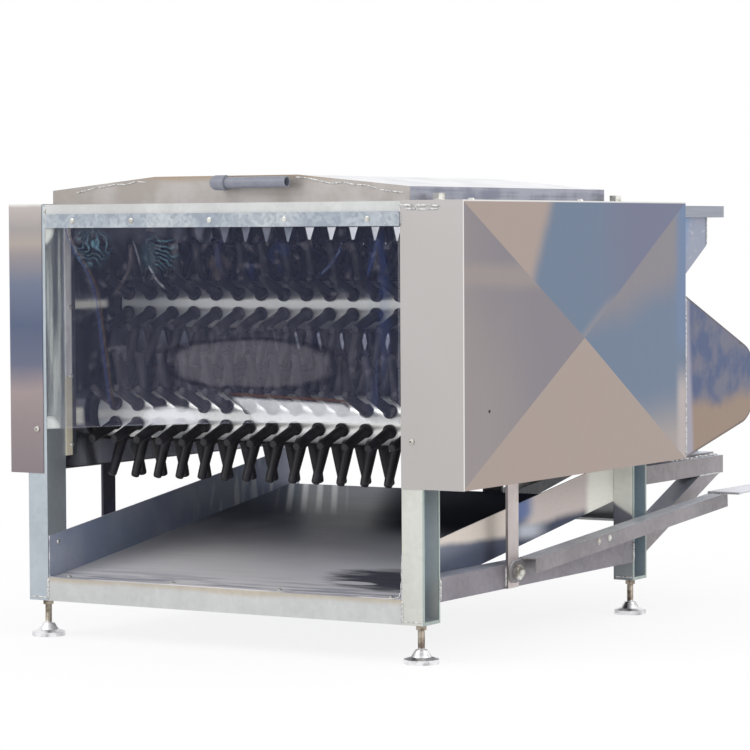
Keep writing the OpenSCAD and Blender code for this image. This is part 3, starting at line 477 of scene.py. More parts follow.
face = sheet.layers(
    front_facet,
    (rear_facet, u.above(abs(v))),
    (top_facet, v.above(abs(u))),
    (low_facet, (0 - v).above(abs(u))),
    (PAINTED_EDGE_HIGHLIGHT, sheet.step(v, 0.986, 0.994)),
    (PAINTED_EDGE_HIGHLIGHT, sheet.fall(y, low.y + 0.006, low.y + 0.0065)),
    (flange, sheet.fall(y, low.y + 0.0020, low.y + 0.0026)),
    (PAINTED_TOP_LIGHT, sheet.step(sheet.facing()[2], 0.7, 0.95)))
sheet.surface(sheet.darken(face, (grain - 0.5) * 0.07), 0.32 + 0.1 * grain, 0.9, grain, BRUSH_DEPTH)
dress(sheet, "right_cover")
print("right cover facets", round(2 * half_y, 3), "by", round(2 * half_z, 3), "m")

# %% [markdown]
# ## The other sheets
# The narrow left cover, the belt guard, the lid and the hopper come from the same brushed sheet, and
# each has its own warm and cool painted reflections. Where they lie in bands, a colour ramp along the
# height is the simplest way to place them, and some noise in the height keeps them from being ruled lines.


# %% Left cover and belt guard
def height_bands(finish, bands, wander):
    """A colour by height: bands are (height in metres, colour) pairs, and noise bends them."""
    bottom, top = bands[0][0], bands[-1][0]
    height = finish.xyz()[2] + (finish.noise(6, 3) - 0.5) * wander
    stops = [((z - bottom) / (top - bottom), colour) for z, colour in bands]
    return finish.ramp((height - bottom) / (top - bottom), *stops)


cover, grain = brushed("left_cover_sheet")
# The height bands are painted reflections, the top band a painted edge highlight, and faces that look up get
# painted light.
colour = height_bands(cover, [
    (0.30, tone(140, 130, 134)), (0.40, tone(152, 140, 142)), (0.46, tone(164, 150, 150)),
    (0.51, tone(112, 116, 136)), (0.58, tone(96, 106, 130)), (0.66, tone(118, 126, 146)),
    (0.71, tone(152, 146, 150)), (0.735, tone(176, 166, 160)), (0.76, tone(166, 160, 160)),
    (0.80, tone(190, 182, 178)), (0.8052, PAINTED_EDGE_HIGHLIGHT)], 0.03)
colour = cover.mix(colour, PAINTED_TOP_LIGHT, cover.step(cover.facing()[2], 0.7, 0.95))
cover.surface(cover.darken(colour, (grain - 0.5) * 0.08), 0.3 + 0.12 * grain, 0.9, grain, BRUSH_DEPTH)
dress(cover, "left_cover")

guard, grain = brushed("belt_guard_sheet")
y, z = guard.xyz()[1:]
low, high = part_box("belt_guard")
# The blue base and the blue rear edge are painted sky reflections, and the warm part low down is a painted ground
# reflection.
blotch = guard.step(guard.noise(16, 4), 0.4, 0.62)
ground = guard.fall(z + (guard.noise(7, 3) - 0.5) * 0.08, 0.40, 0.44)
beside_bead = guard.fall(y + guard.noise(4, 2) * 0.02 + (z - 0.45) * 0.06, low.y + 0.028, low.y + 0.05)
colour = guard.layers(
    tone(76, 91, 127),
    (tone(110, 111, 130), blotch),
    (tone(152, 131, 116), ground),
    (tone(164, 162, 178), beside_bead * 0.85),
    (tone(124, 152, 196), guard.step(y, high.y - 0.022, high.y - 0.006)))

NOSE_R = 0.082
nose_y, nose_z = high.y - NOSE_R, 0.442
from_nose = ((y - nose_y) ** 2 + (z - nose_z) ** 2) ** 0.5
edge_gap = (NOSE_R - from_nose) * y.above(nose_y) + (1 - y.above(nose_y))
for corner_z, turn in ((high.z, 1), (low.z, -1)):
    to_corner = Vector((low.y - nose_y, corner_z - nose_z))
    swing = math.atan2(to_corner.y, to_corner.x) - turn * math.acos(NOSE_R / to_corner.length)
    gap = NOSE_R - (y - nose_y) * math.cos(swing) - (z - nose_z) * math.sin(swing)
    edge_gap = edge_gap.smaller(gap)
colour = guard.mix(colour, tone(92, 82, 84), guard.fall(edge_gap, 0.001, 0.006) * 0.75)
guard.surface(guard.darken(colour, (grain - 0.5) * 0.1), 0.24 + 0.12 * grain, 0.9, grain, BRUSH_DEPTH)
dress(guard, "belt_guard")
print("left cover and belt guard toned")

# %% Hopper, rim and lid
hopper, grain = brushed("hopper_sheet")
x, y, z = hopper.xyz()
scratch = hopper.step(hopper.noise(1, 3, (300, 40, 90)), 0.6, 0.7)
# A painted sky reflection lies on the right side near the top; sunlit inner faces are painted near white, painted
# light.
behind_cover = y - (FRONT_MIDDLE.y + 1.05)
painted_sky_patch = hopper.fall(behind_cover + (0.8 - z) * 0.35, 0.02, 0.11) * hopper.step(z, 0.6, 0.72)
painted_sky_patch = painted_sky_patch * hopper.step(behind_cover, -0.12, -0.03) * x.above(FRONT_MIDDLE.x)
look_x, look_y = hopper.facing()[:2]
inward = (FRONT_MIDDLE.x - x) * look_x
sunlit = inward.above(0.1).larger((0 - look_y).above(0.5))
colour = hopper.layers(
    tone(148, 154, 175),
    (tone(162, 167, 183), hopper.noise(12, 3)),
    (tone(84, 146, 206), painted_sky_patch * (0.5 + 0.6 * hopper.noise(20, 2))),
    (tone(206, 207, 214), scratch * 0.35),
    (tone(248, 249, 252), sunlit))
hopper.surface(hopper.darken(colour, (grain - 0.5) * 0.12), 0.3 + 0.16 * grain, 0.9 - 0.8 * sunlit, grain, 0.00003)
dress(hopper, "feed_hopper")

rim, grain = brushed("rim_rail_steel", (500, 9, 500))
rim.surface(rim.mix(tone(138, 143, 156), tone(170, 174, 185), grain), 0.34 + 0.12 * grain, 0.9, grain, 0.00004)
dress(rim, "hopper_rim")

lid, grain = brushed("lid_sheet", (9, 700, 700))
y, z = lid.xyz()[1:]
low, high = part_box("lid")
rub = lid.noise(16, 5)
# The side, front and top tones are painted reflections, and the nearly white top is painted light.
front = lid.layers(
    tone(164, 157, 152),
    (tone(182, 177, 174), lid.step(rub, 0.35, 0.7)),
    (tone(166, 148, 128), lid.step(z + rub * 0.02, low.z + 0.046, low.z + 0.062)))
top = lid.mix(tone(212, 213, 217), tone(234, 234, 236), lid.step(rub * 0.6 + grain * 0.4, 0.35, 0.65))
colour = lid.layers(
    tone(136, 139, 156),
    (tone(170, 172, 184), lid.step(rub * 0.5 + lid.noise(1, 2, (3, 3, 90)) * 0.5, 0.4, 0.6)),
    (front, lid.fall(y, low.y + 0.001, low.y + 0.002)),
    (top, lid.step(lid.facing()[2], 0.6, 0.9)))
lid.surface(lid.darken(colour, (grain - 0.5) * 0.08), 0.34 + 0.14 * grain, 0.8, grain, 0.00003)
dress(lid, "lid")
print("hopper, rim and lid dressed")

# %% [markdown]
# ## Inside the machine
# The walls round the rollers are bright sheet too, but they mirror a dark room and lie in shade. They
# get a darker steel, whose dark tone is painted shade, and a smooth finish, so the rollers show in them
# as soft streaks. Near the front, painted reflections of the ends of two tubes lie on the left wall.

# %% Inner walls and edge strips
inner, grain = brushed("inner_wall_steel", (90, 90, 5))
smear = inner.noise(9, 4)
x, y, z = inner.xyz()
deep = y - FRONT_MIDDLE.y + (smear - 0.5) * 0.02
# Painted reflections of the ends of two tubes on the left wall.
upper_tube_reflection = inner.fall(abs(z - 0.6165), 0.003, 0.012) * inner.fall(deep, 0.18, 0.21)
lower_tube_reflection = inner.fall(abs(z - 0.408), 0.008, 0.022) * inner.fall(deep, 0.1, 0.125)
painted_tube_reflections = upper_tube_reflection.larger(lower_tube_reflection) * (1 - x.above(FRONT_MIDDLE.x))
# The dark steel tone is painted shade.
steel_tone = inner.mix(tone(108, 110, 122), tone(156, 157, 166), inner.step(smear * 0.7 + grain * 0.3, 0.3, 0.75))
inner.surface(
    inner.mix(steel_tone, tone(250, 248, 236), painted_tube_reflections),
    0.15 + 0.1 * smear, 0.95 - 0.85 * painted_tube_reflections)
dress(inner, "left_side_plate", "right_side_plate", "rear_panel", "feed_chute")

strip_steel, grain = brushed("edge_strip_steel", (300, 300, 9))
y, z = strip_steel.xyz()[1:]
# The bright streaks are painted highlights; the inner part of the strip is darker.
streaks = strip_steel.step(strip_steel.noise(1, 3, (60, 60, 14)), 0.4, 0.65)
lower = strip_steel.mix(tone(212, 203, 180), tone(238, 231, 212), grain)
colour = strip_steel.layers(
    tone(230, 226, 227),
    (tone(252, 251, 251), streaks),
    (lower, strip_steel.fall(z, 0.482, 0.486)),
    (tone(70, 72, 82), strip_steel.step(y, FRONT_MIDDLE.y + 0.074, FRONT_MIDDLE.y + 0.078)))
strip_steel.surface(colour, 0.3, 0.06, grain, 0.0001)
dress(strip_steel, "edge_strips")
print("inner walls and edge strips dressed")

# %% [markdown]
# The tray below is the same sheet, scuffed by rakes near its front lip, with painted shade that makes
# it darker towards the back, painted reflection streaks and a spill that has dried. Its right wall is
# seen from outside and carries painted reflections of ground and sky, a painted sheen and a painted
# highlight at its end, and the inner walls carry painted glints. All of it is laid coat by coat, with
# places in millimetres from the lip and the middle.

# %% Tray floor
tray, grain = brushed("tray_sheet", (6, 220, 220))
x, y, z = tray.xyz()
low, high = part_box("feather_tray")
from_lip = (y - low.y) * 1000
across = (x - FRONT_MIDDLE.x) * 1000
scuff, cloudy = tray.noise(1, 4, (7, 60, 60)), tray.noise(5, 4)
# Painted shade: the floor grows darker towards the back and the right, darkest at the back right.
shaded = tray.step(from_lip * 0.8 + across * 0.4 + (cloudy - 0.5) * 260, 60, 460)
painted_back_shade = tray.step(across + (from_lip - 560) * 0.5, -40, 80) * tray.step(from_lip, 400, 560)
rake = tray.fall(from_lip, 20, 120) * tray.step(scuff, 0.42, 0.6)
# Painted reflection streaks across the back of the floor.
slant = across + from_lip * 0.6
painted_reflection_streaks = tray.fall(abs(((slant - 107) / 35.3).fraction() - 0.5), 0.08, 0.3)
painted_reflection_streaks = painted_reflection_streaks * tray.step(from_lip, 560, 680) * tray.fall(abs(slant - 178), 66, 90)
smeared = (tray.noise(1, 4, (14, 70, 70)) - 0.5) * 1.3
spill = ((across - 300) / 165) ** 2 + ((from_lip - 128 - (300 - across) * 0.12) / 82) ** 2 + smeared
spill_lens = ((across - 222) / 52) ** 2 + ((from_lip - 98) / 13) ** 2
spill_mask = tray.fall(spill, 0.3, 1.15) * tray.step(spill_lens + smeared * 0.6, 0.5, 1.1)
floor_tone = tray.layers(
    tone(218, 216, 220),
    (tone(172, 174, 190), shaded),
    (tone(94, 99, 116), tray.step(from_lip + (cloudy - 0.5) * 160, 380, 640)),
    (tone(50, 53, 68), painted_back_shade),
    (tone(112, 116, 136), rake * 0.7),
    (tone(250, 252, 254), painted_reflection_streaks * 0.75),
    (tone(44, 47, 64), spill_mask * 0.95))
print("tray floor", round(high.y - low.y, 3), "m deep")

# %% Tray walls
up_wall = z * 1000 - 112 - from_lip * 0.1405 + (cloudy - 0.5) * 24
above_line = up_wall - 66 + (from_lip - 148) * 0.155
# On the outer right wall: painted reflections of ground and sky, a painted sheen band, a painted highlight at its
# end, and darker low down.
pale = tray.step(above_line, -12, 4) * tray.fall(from_lip, 380, 430)
blue = tray.step(up_wall, 30, 56) * tray.fall(abs(from_lip - 440), 10, 60)
sheen = tray.fall(abs(above_line), 2, 22) * tray.step(from_lip, 390, 450)
sheen = sheen * tray.fall(from_lip, 470, 560)
warm = tray.step(from_lip + cloudy * 60, 450, 520) * tray.step(up_wall + (from_lip - 450) * 0.1, 18, 38)
outer = tray.layers(
    tone(88, 94, 112),
    (tone(132, 137, 151), tray.step(up_wall, 20, 70)),
    (tone(217, 207, 203), warm),
    (tone(98, 124, 178), blue * 0.8),
    (tone(228, 234, 244), sheen * 0.75),
    (tone(232, 222, 212), pale),
    (tone(254, 255, 246), tray.step(from_lip + cloudy * 60, 715, 750) * 0.9))
# Painted glints on the inner walls.
glints = tray.step(tray.noise(1, 2, (1, 34, 9)), 0.5, 0.66) * tray.step(from_lip, 420, 600)
wall_tone = tray.layers(
    tone(136, 146, 170),
    (tone(166, 171, 186), tray.step(cloudy, 0.4, 0.7)),
    (tone(236, 242, 244), glints * 0.5),
    (outer, across.above(0)))
wall = tray.step(abs(tray.facing()[0]), 0.5, 0.8)
colour = tray.mix(floor_tone, wall_tone, wall)
tray.surface(
    tray.darken(colour, (grain - 0.5) * 0.3), 0.26 + 0.14 * scuff + 0.06 * grain + 0.6 * painted_back_shade, 0.1,
    (grain * 0.5 + scuff) * (1 - wall), 0.00015, Specular_IOR_Level=0.05)
dress(tray, "feather_tray")
print("tray walls toned inside and outside")

# %% [markdown]
# ## Roller tubes, castings, zinc and paint
# The tubes are satin steel, turned on a lathe, so their grain runs round them; the rear pair, deep
# inside the machine, gets a dark tone that is painted shade, and the lower front tube a bright tone
# that is painted light. Bearings and pulleys are rough castings, screws and feet are bright zinc, and
# the motor is enamelled blue-grey. Most of these are two tones and one fine grain, so one function
# makes them.

# %% Roller tubes
# The lower front tube's bright tones are painted light, the rear pair's dark tones painted shade; within each tube
# the two tones are wear.
TUBES = {
    "bright_tube_steel": (tone(228, 229, 228), tone(250, 250, 247), 0.28, ["lower_front_roller"]),
    "satin_tube_steel": (tone(176, 178, 178), tone(206, 208, 206), 0.3, ["upper_front_roller"]),
    "stained_tube_steel": (tone(70, 71, 78), tone(112, 112, 116), 0.42, ["lower_rear_roller", "upper_rear_roller"]),
}
for name, (worn_tone, fresh_tone, rough, rollers) in TUBES.items():
    tube, grain = brushed(name, (420, 6, 6))
    wear = tube.noise(18, 4)
    colour = tube.mix(worn_tone, fresh_tone, wear * 0.6 + grain * 0.4)
    tube.surface(colour, rough + 0.14 * wear, 0.88, grain, 0.00004)
    dress(tube, *rollers)
print("tube finishes", len(TUBES))


# %% Cast, plated, painted and moulded
def speckled(name, dark, light, grain, roughness, metal, depth, *names, cloud=None, edges=None):
    """Two tones and a fine grain, which also lifts the surface. The light tone lies in clouds, or where the
    grain passes two edges, or as the grain does. Grain and cloud are (size, detail), roughness (least, spread)."""
    finish = Finish(name)
    fine = finish.noise(*grain)
    share = fine
    if cloud:
        share = finish.noise(*cloud)
    elif edges:
        share = finish.step(fine, *edges)
    least, spread = roughness
    finish.surface(finish.mix(dark, light, share), least + spread * fine, metal, fine, depth)
    dress(finish, *names)
    return finish


ROLLER_ROWS = ("lower_front", "lower_rear", "upper_front", "upper_rear")
speckled("rough_casting", tone(52, 54, 58), tone(84, 86, 88), (420, 4), (0.55, 0.2), 0.6, 0.0008,
         "left_bearings", "right_bearings", "driven_pulley", "motor_pulley",
         *[row + "_pulley" for row in ROLLER_ROWS], cloud=(30, 3))
zinc = speckled("bright_zinc", tone(170, 166, 156), tone(222, 222, 216), (60, 4), (0.22, 0.22), 0.95, 0.0001,
                "panel_screws", "bar_rivets", "top_bolts", "motor_shaft", "pivot_bolt", edges=(0.3, 0.6))
speckled("motor_enamel", tone(84, 100, 118), tone(98, 114, 131), (240, 2), (0.34, 0.1), 0.0, 0.0002,
         "motor_body", "motor_fan_cover", "terminal_box", cloud=(9, 3))
speckled("grey_pipe", tone(112, 115, 128), tone(138, 141, 152), (90, 4), (0.36, 0.2), 0.0, 0.0001,
         "water_pipe", "pipe_elbow", "spray_bar")
speckled("belt_rubber", tone(22, 22, 23), tone(42, 41, 40), (700, 2), (0.7, 0.1), 0.0, 0.0003,
         "end_seals", "transfer_belts", "drive_belt")

FEET = ("front_left", "front_right", "rear_left", "rear_right")
worn = Finish("worn_foot_zinc")
tarnish = worn.noise(60, 4)
stem = worn.step(worn.xyz()[2], 0.022, 0.03)
colour = worn.mix(tone(188, 187, 190), tone(244, 244, 246), worn.step(tarnish, 0.3, 0.6))
colour = worn.mix(colour, worn.mix(tone(96, 84, 74), tone(176, 166, 152), worn.step(tarnish, 0.35, 0.65)), stem)
worn.surface(colour, 0.2 + 0.25 * tarnish, 0.95, tarnish, 0.0001)
dress(worn, "foot_lock_nuts", *[name + "_foot" for name in FEET])
print("cast, plated, painted and moulded finishes on the remaining pieces")

# %% [markdown]
# ## Making new pieces
# Everything added from here on is a mesh made by rule: a profile turned round an axis, a bead drawn
# along a line, or a grid of points. One small store collects points and faces, and one call turns
# them into a piece that shades smoothly, rides on its body and names its material slot.


# %% Mesh helpers
class Mould:
    """Points and faces of one piece, gathered from several shapes."""

    def __init__(self):
        self.points, self.faces = [], []

    def add(self, points, faces):
        first = len(self.points)
        self.points.extend(points)
        self.faces.extend(tuple(i + first for i in face) for face in faces)

    def mesh(self, name, finish, sharp=38):
        mesh = bpy.data.meshes.new(name)
        mesh.from_pydata(self.points, [], self.faces)
        mesh.shade_smooth()
        mesh.set_sharp_from_angle(angle=math.radians(sharp))
        mesh.materials.append(finish.material)
        made = bpy.data.objects.new(name, mesh)
        bpy.context.scene.collection.objects.link(made)
        return made

    def piece(self, name, finish, body, sharp=38):
        made = self.mesh(name, finish, sharp)
        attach(made, body)
        print(name, len(self.points), "points on", body)
        return made


def tube_faces(rings):
    """Faces over rings of point numbers; a ring of one point closes an end."""
    faces = []
    for low, high in zip(rings, rings[1:]):
        count = max(len(low), len(high))
        for k in range(count):
            after = (k + 1) % count
            if len(low) == 1:
                faces.append((low[0], high[after], high[k]))
            elif len(high) == 1:
                faces.append((low[k], low[after], high[0]))
            else:
                faces.append((low[k], low[after], high[after], high[k]))
    return faces


def turned(mould, centre, axis, profile, sides, bend=Vector()):
    """Turns (radius, height) pairs in millimetres round an axis; bend moves the far end sideways."""
    axis = Vector(axis).normalized()
    side = axis.orthogonal().normalized()
    across = axis.cross(side)
    reach = max(abs(h) for r, h in profile)
    points, rings = [], []
    for r, h in profile:
        middle = centre + axis * (h / 1000) + bend * (h / reach) ** 2
        count = sides if r else 1
        rings.append(range(len(points), len(points) + count))
        for k in range(count):
            a = math.tau * k / count
            points.append(middle + (side * math.cos(a) + across * math.sin(a)) * (r / 1000))
    mould.add(points, tube_faces(rings))


print("mesh helpers ready")

# %% [markdown]
# ## Rubber fingers
# Each finger is pushed through a hole in its tube from inside, so a collar sits on the tube and a
# tapered finger stands out of it. The solids give the taper; the moulded shape has a rolled collar,
# a waist, a soft tip and a slightly different lean on every finger, because rubber never stands
# quite straight. A seeded generator keeps the lean the same on each run.

# %% Finger rubber
finger_rubber = Finish("finger_rubber")
bloom = finger_rubber.noise(38, 4)
pores = finger_rubber.noise(900, 2)
chalk = finger_rubber.step(bloom, 0.5, 0.78)
finger_rubber.surface(
    finger_rubber.mix(tone(21, 19, 27), tone(52, 48, 60), chalk * 0.8), 0.42 + 0.2 * bloom, 0.0,
    pores * 0.5 + bloom, 0.0003)

# %% Fingers of the four rollers
FINGER = [(0, 42), (9.4, 42.1), (12.4, 44.8), (13.3, 45.7), (13.5, 47.1), (13.3, 48.5), (12.5, 49.7),
          (11.2, 50.8), (10.3, 52.7), (9.9, 56.5), (9.9, 64), (9.6, 77), (9.2, 93), (8.7, 108),
          (8.3, 119), (8.0, 123), (7.3, 125), (6.0, 126.1), (4.0, 126.5), (0, 126.5)]
ROWS, ROW_TURN, PITCH = 8, 3, 0.05
LEAN_ALONG, LEAN_ROUND = 0.0012, 0.0022
lean = random.Random(7)


def roller_fingers(row, stations):
    low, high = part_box(row + "_roller")
    axis_y, axis_z = (low.y + high.y) / 2, (low.z + high.z) / 2
    mould = Mould()
    for x in stations:
        for i in range(ROWS):
            a = math.radians((i + 0.5) * 360 / ROWS - 90 - ROW_TURN)
            out = Vector((0, -math.sin(a), math.cos(a)))
            round_way = Vector((0, -math.cos(a), -math.sin(a)))
            bend = Vector((lean.uniform(-LEAN_ALONG, LEAN_ALONG), 0, 0))
            bend += round_way * lean.uniform(-LEAN_ROUND, LEAN_ROUND)
            turned(mould, Vector((FRONT_MIDDLE.x + x, axis_y, axis_z)), out, FINGER, 16, bend)
    made = mould.piece(row + "_finger_set", finger_rubber, row + "_roller", 50)
    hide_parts(row + "_fingers")


for row in ROLLER_ROWS:
    count = 14 if row.startswith("lower") else 15
    roller_fingers(row, [(i - (count - 1) / 2) * PITCH for i in range(count)])

# %% [markdown]
# ## Clear curtain
# The curtain is soft clear vinyl that was rolled up before it was hung: it still has a crease, a
# crumpled corner, a shallow dish and a wavy lower hem that catches the light, helped by painted glare.
# A grid with two skins takes all of these as sums of smooth bumps. Its top is clamped flat: the bumps
# fade out just under the bar.

# %% Curtain shape
CURTAIN_HALF, CURTAIN_TOP, HINGE, SHEET_T = HALF_IN - 2, 786.0, 761.0, 2.0
HEM_LEFT, HEM_RIGHT = 389.0, 419.0
COLUMNS, LINES = 180, 110
folds = random.Random(3)


def bump(value, middle, width):
    return np.exp(-(((value - middle) / width) ** 2))


def hem_height(x):
    """The hem climbs to the right, fast at first."""
    s = (x + CURTAIN_HALF) / (2 * CURTAIN_HALF)
    return HEM_LEFT + (HEM_RIGHT - HEM_LEFT) * (1 - (1 - s) ** 1.6)


def crease_x(z):
    """Where the old fold runs: from the top left corner down to the first finger."""
    return -233 - 0.148 * (z - 442) - 50 * np.clip((z - 600) / 156, 0, 1) ** 2


def curtain_front(x, z):
    """How far the front skin stands out of the flat sheet, in millimetres."""
    t = np.clip((HINGE - z) / (HINGE - HEM_LEFT), 0, 1)
    s = (x + CURTAIN_HALF) / (2 * CURTAIN_HALF)
    out = 6 * t ** 2 * (1 - np.cos(math.tau * 5 * s)) / 2
    out += 1.3 * bump(x, crease_x(z), 7) * np.clip((z - 400) / 60, 0, 1)
    dish = np.abs((x - 78) / 172) ** 2.6 + np.abs((z - 517) / 41) ** 2.6
    out += 4 * np.clip(1 - dish, 0, 1) ** 2
    out += 3 * bump(z, 438, 15) * np.clip((x - 20) / 60, 0, 1) * np.clip((340 - x) / 40, 0, 1)
    for i in range(9):
        cx, cz = folds.uniform(-372, -120), folds.uniform(650, 752)
        turn, reach = folds.uniform(0, math.pi), folds.uniform(18, 46)
        along = (x - cx) * math.cos(turn) + (z - cz) * math.sin(turn)
        aside = (z - cz) * math.cos(turn) - (x - cx) * math.sin(turn)
        out += folds.uniform(0.5, 1.2) * bump(along, 0, reach) * bump(aside, 0, 6)
    return out * np.clip((HINGE - z) / 26, 0, 1)


columns = np.linspace(-CURTAIN_HALF, CURTAIN_HALF, COLUMNS)
drop = np.linspace(0, 1, LINES)[:, None]
grid_x = np.repeat(columns[None, :], LINES, axis=0)
grid_z = CURTAIN_TOP - (CURTAIN_TOP - hem_height(columns)[None, :]) * drop
stand = curtain_front(grid_x, grid_z)
curtain_area = float(np.mean(CURTAIN_TOP - hem_height(columns))) * 2 * CURTAIN_HALF / 1e6
print("curtain stands out", round(float(stand.max()), 1), "mm at most, area", round(curtain_area, 4), "m2")

# %% Curtain skins
curtain = Mould()
for back in (SHEET_T, 0.0):
    curtain.points.extend(
        at(x, -out - back, z) for x, out, z in zip(grid_x.ravel(), stand.ravel(), grid_z.ravel()))


def curtain_index(i, j, skin):
    return (skin * LINES + j) * COLUMNS + i


for j in range(LINES - 1):
    for i in range(COLUMNS - 1):
        front = [curtain_index(i + a, j + b, 0) for a, b in ((0, 0), (0, 1), (1, 1), (1, 0))]
        curtain.faces.append(tuple(front))
        curtain.faces.append(tuple(n + LINES * COLUMNS for n in reversed(front)))
edge = [(i, 0) for i in range(COLUMNS)] + [(COLUMNS - 1, j) for j in range(1, LINES)]
edge += [(i, LINES - 1) for i in range(COLUMNS - 2, -1, -1)] + [(0, j) for j in range(LINES - 2, 0, -1)]
for (i, j), (k, m) in zip(edge, edge[1:] + edge[:1]):
    curtain.faces.append(tuple(curtain_index(*place) for place in ((i, j, 0), (k, m, 0), (k, m, 1), (i, j, 1))))
print("curtain skins", len(curtain.faces), "faces")

# %% [markdown]
# Clear vinyl shows the rollers almost unchanged. What one sees of it is a thin film of reflection
# that grows with the glancing angle, and marks: the fold with a blue and a brown side, painted
# reflections, oily swirls in the corner, the rim of the dish, and painted white glare where the hem
# curls towards the light. A faint blue veil over the whole sheet and a pale streaky band at its left
# edge are painted reflections, and pale spots on the hem and at the left corners are painted
# highlights. Each mark is a mask on the sheet. A mask adds to the share of a matt film, and tints that film.

# %% Curtain marks
vinyl = Finish("clear_vinyl")
x, y, z = vinyl.xyz()
x, z = (x - FRONT_MIDDLE.x) * 1000, z * 1000
marks = []


def ridge(value, width):
    """1 on the line where value is 0, falling to 0 at width from it."""
    return vinyl.fall(abs(value), 0, width)


def spot(across, down, wide, tall):
    """1 inside an oval round a place on the sheet, falling to 0 at its edge."""
    return vinyl.fall(((x - across) / wide) ** 2 + ((z - down) / tall) ** 2, 0.3, 1.0)


def mark(mask, strength, colour):
    marks.append((mask * strength, colour))


blotch, streak = vinyl.noise(9, 4), vinyl.noise(1, 3, (90, 90, 5))
bend = vinyl.step(z, 600, 756)
from_crease = x + 233 + (z - 442) * 0.148 + bend * bend * 50
# A faint blue veil over the whole sheet, a painted reflection.
mark(1.0, 0.035, tone(104, 114, 166))
# The fold's blue and brown sides, painted reflections.
mark(ridge(from_crease + 2.5, 3.5) * vinyl.step(z, 420, 460), 0.26, tone(60, 78, 136))
mark(ridge(from_crease - 3.5, 3.5) * vinyl.step(z, 420, 460), 0.22, tone(116, 98, 86))
swirl = ridge((vinyl.noise(15, 1.6) * 15).fraction() - 0.5, 0.13)
mark(swirl * spot(-274, 726, 52, 44), 0.36, tone(104, 142, 160))
fan = ((742 - z) / (x + 186).larger(2) * 6 + vinyl.noise(18, 2) * 7).fraction() - 0.5
mark(ridge(fan, 0.18) * spot(-126, 714, 54, 38) * vinyl.step(x, -176, -150), 0.32, tone(100, 136, 152))
mark(vinyl.step(streak, 0.46, 0.62) * spot(338, 590, 34, 200), 0.08, tone(60, 82, 144))
mark(vinyl.step(streak, 0.3, 0.7) * spot(70, 510, 420, 130), 0.035, tone(156, 152, 166))
mark(vinyl.step(vinyl.noise(24, 3), 0.52, 0.66) * spot(44, 706, 150, 44), 0.09, tone(54, 74, 140))
mark(vinyl.step(vinyl.noise(40, 4), 0.4, 0.6) * spot(4, 690, 30, 26), 0.06, tone(146, 132, 130))
mark(vinyl.step(vinyl.noise(60, 5), 0.56, 0.66) * vinyl.step(blotch, 0.4, 0.6), 0.05, tone(190, 186, 196))
# A pale streaky band at the left edge, a painted reflection.
mark(vinyl.fall(x, -352, -340) * vinyl.step(streak, 0.36, 0.7), 0.5, tone(176, 182, 180))

oval = abs((x - 78) / 172) ** 2.6 + abs((z - 517) / 41) ** 2.6 + (vinyl.noise(14, 2) - 0.5) * 0.8
mark(vinyl.fall(oval, 0.75, 1.0), 0.06, tone(176, 168, 176))
mark(ridge(oval - 1.2, 0.34) * (0.15 + 0.85 * vinyl.step(blotch, 0.42, 0.62)), 0.36, tone(24, 25, 40))
print("first curtain marks", len(marks))


# %% Curtain fold lines
def stroke(x0, z0, x1, z1, width, bow=0):
    """1 along a bowed line between two places on the sheet, fading at its ends."""
    run_x, run_z = x1 - x0, z1 - z0
    length = math.hypot(run_x, run_z)
    along = ((x - x0) * run_x + (z - z0) * run_z) / length ** 2
    aside = ((z - z0) * run_x - (x - x0) * run_z) / length - along * (1 - along) * 4 * bow
    unsteady = (vinyl.noise(30, 2) - 0.5) * 9
    broken = vinyl.step(vinyl.noise(50, 3), 0.3, 0.6)
    ends = vinyl.step(along, 0, 0.15) * vinyl.fall(along, 0.8, 1.0)
    return ridge(aside + unsteady, width) * broken * ends


FOLD_LINES = [
    ((-183, 740, -155, 652), 3, 3, 0.24, tone(150, 152, 164)),
    ((-157, 712, -108, 648), 3.5, -5, 0.34, tone(176, 180, 190)),
    ((-186, 738, -235, 632), 5, 16, 0.2, tone(122, 114, 122)),
    ((264, 737, 205, 668), 3.5, 10, 0.24, tone(98, 110, 152)),
    ((335, 745, 312, 672), 5, 4, 0.13, tone(62, 84, 146)),
    ((335, 745, 357, 684), 5, -4, 0.13, tone(62, 84, 146)),
]
for ends, width, bow, strength, colour in FOLD_LINES:
    mark(stroke(*ends, width, bow), strength, colour)
print("fold lines", len(FOLD_LINES))

# %% Curtain glare and finish
glare_top = 460 - (x - 25) * 0.029 - 0.45 * (x - 267).larger(0)
under_top = glare_top - z
glare_left = x - 25 - (460 - z).larger(0) * 1.1 + (vinyl.noise(26, 2) - 0.5) * 26
glare = vinyl.step(under_top, 0, 7) * vinyl.step(glare_left, 0, 16) * vinyl.fall(x, 312, 340)
# Painted glare: a brown line along its top, the white glare itself, and painted highlights on the hem and the
# curled corners.
mark(ridge(under_top + 3, 4) * vinyl.step(x, 20, 50) * vinyl.fall(x, 258, 290), 0.6, tone(84, 60, 56))
mark(glare, 0.25 + 0.08 * vinyl.step(vinyl.noise(22, 3), 0.35, 0.65), tone(248, 249, 254))
mark(spot(-96, 417, 70, 24), 0.4, tone(236, 238, 244))
mark(spot(-380, 392, 36, 24), 0.5, tone(226, 230, 228))
mark(spot(-384, 756, 26, 30), 0.55, tone(222, 225, 220))

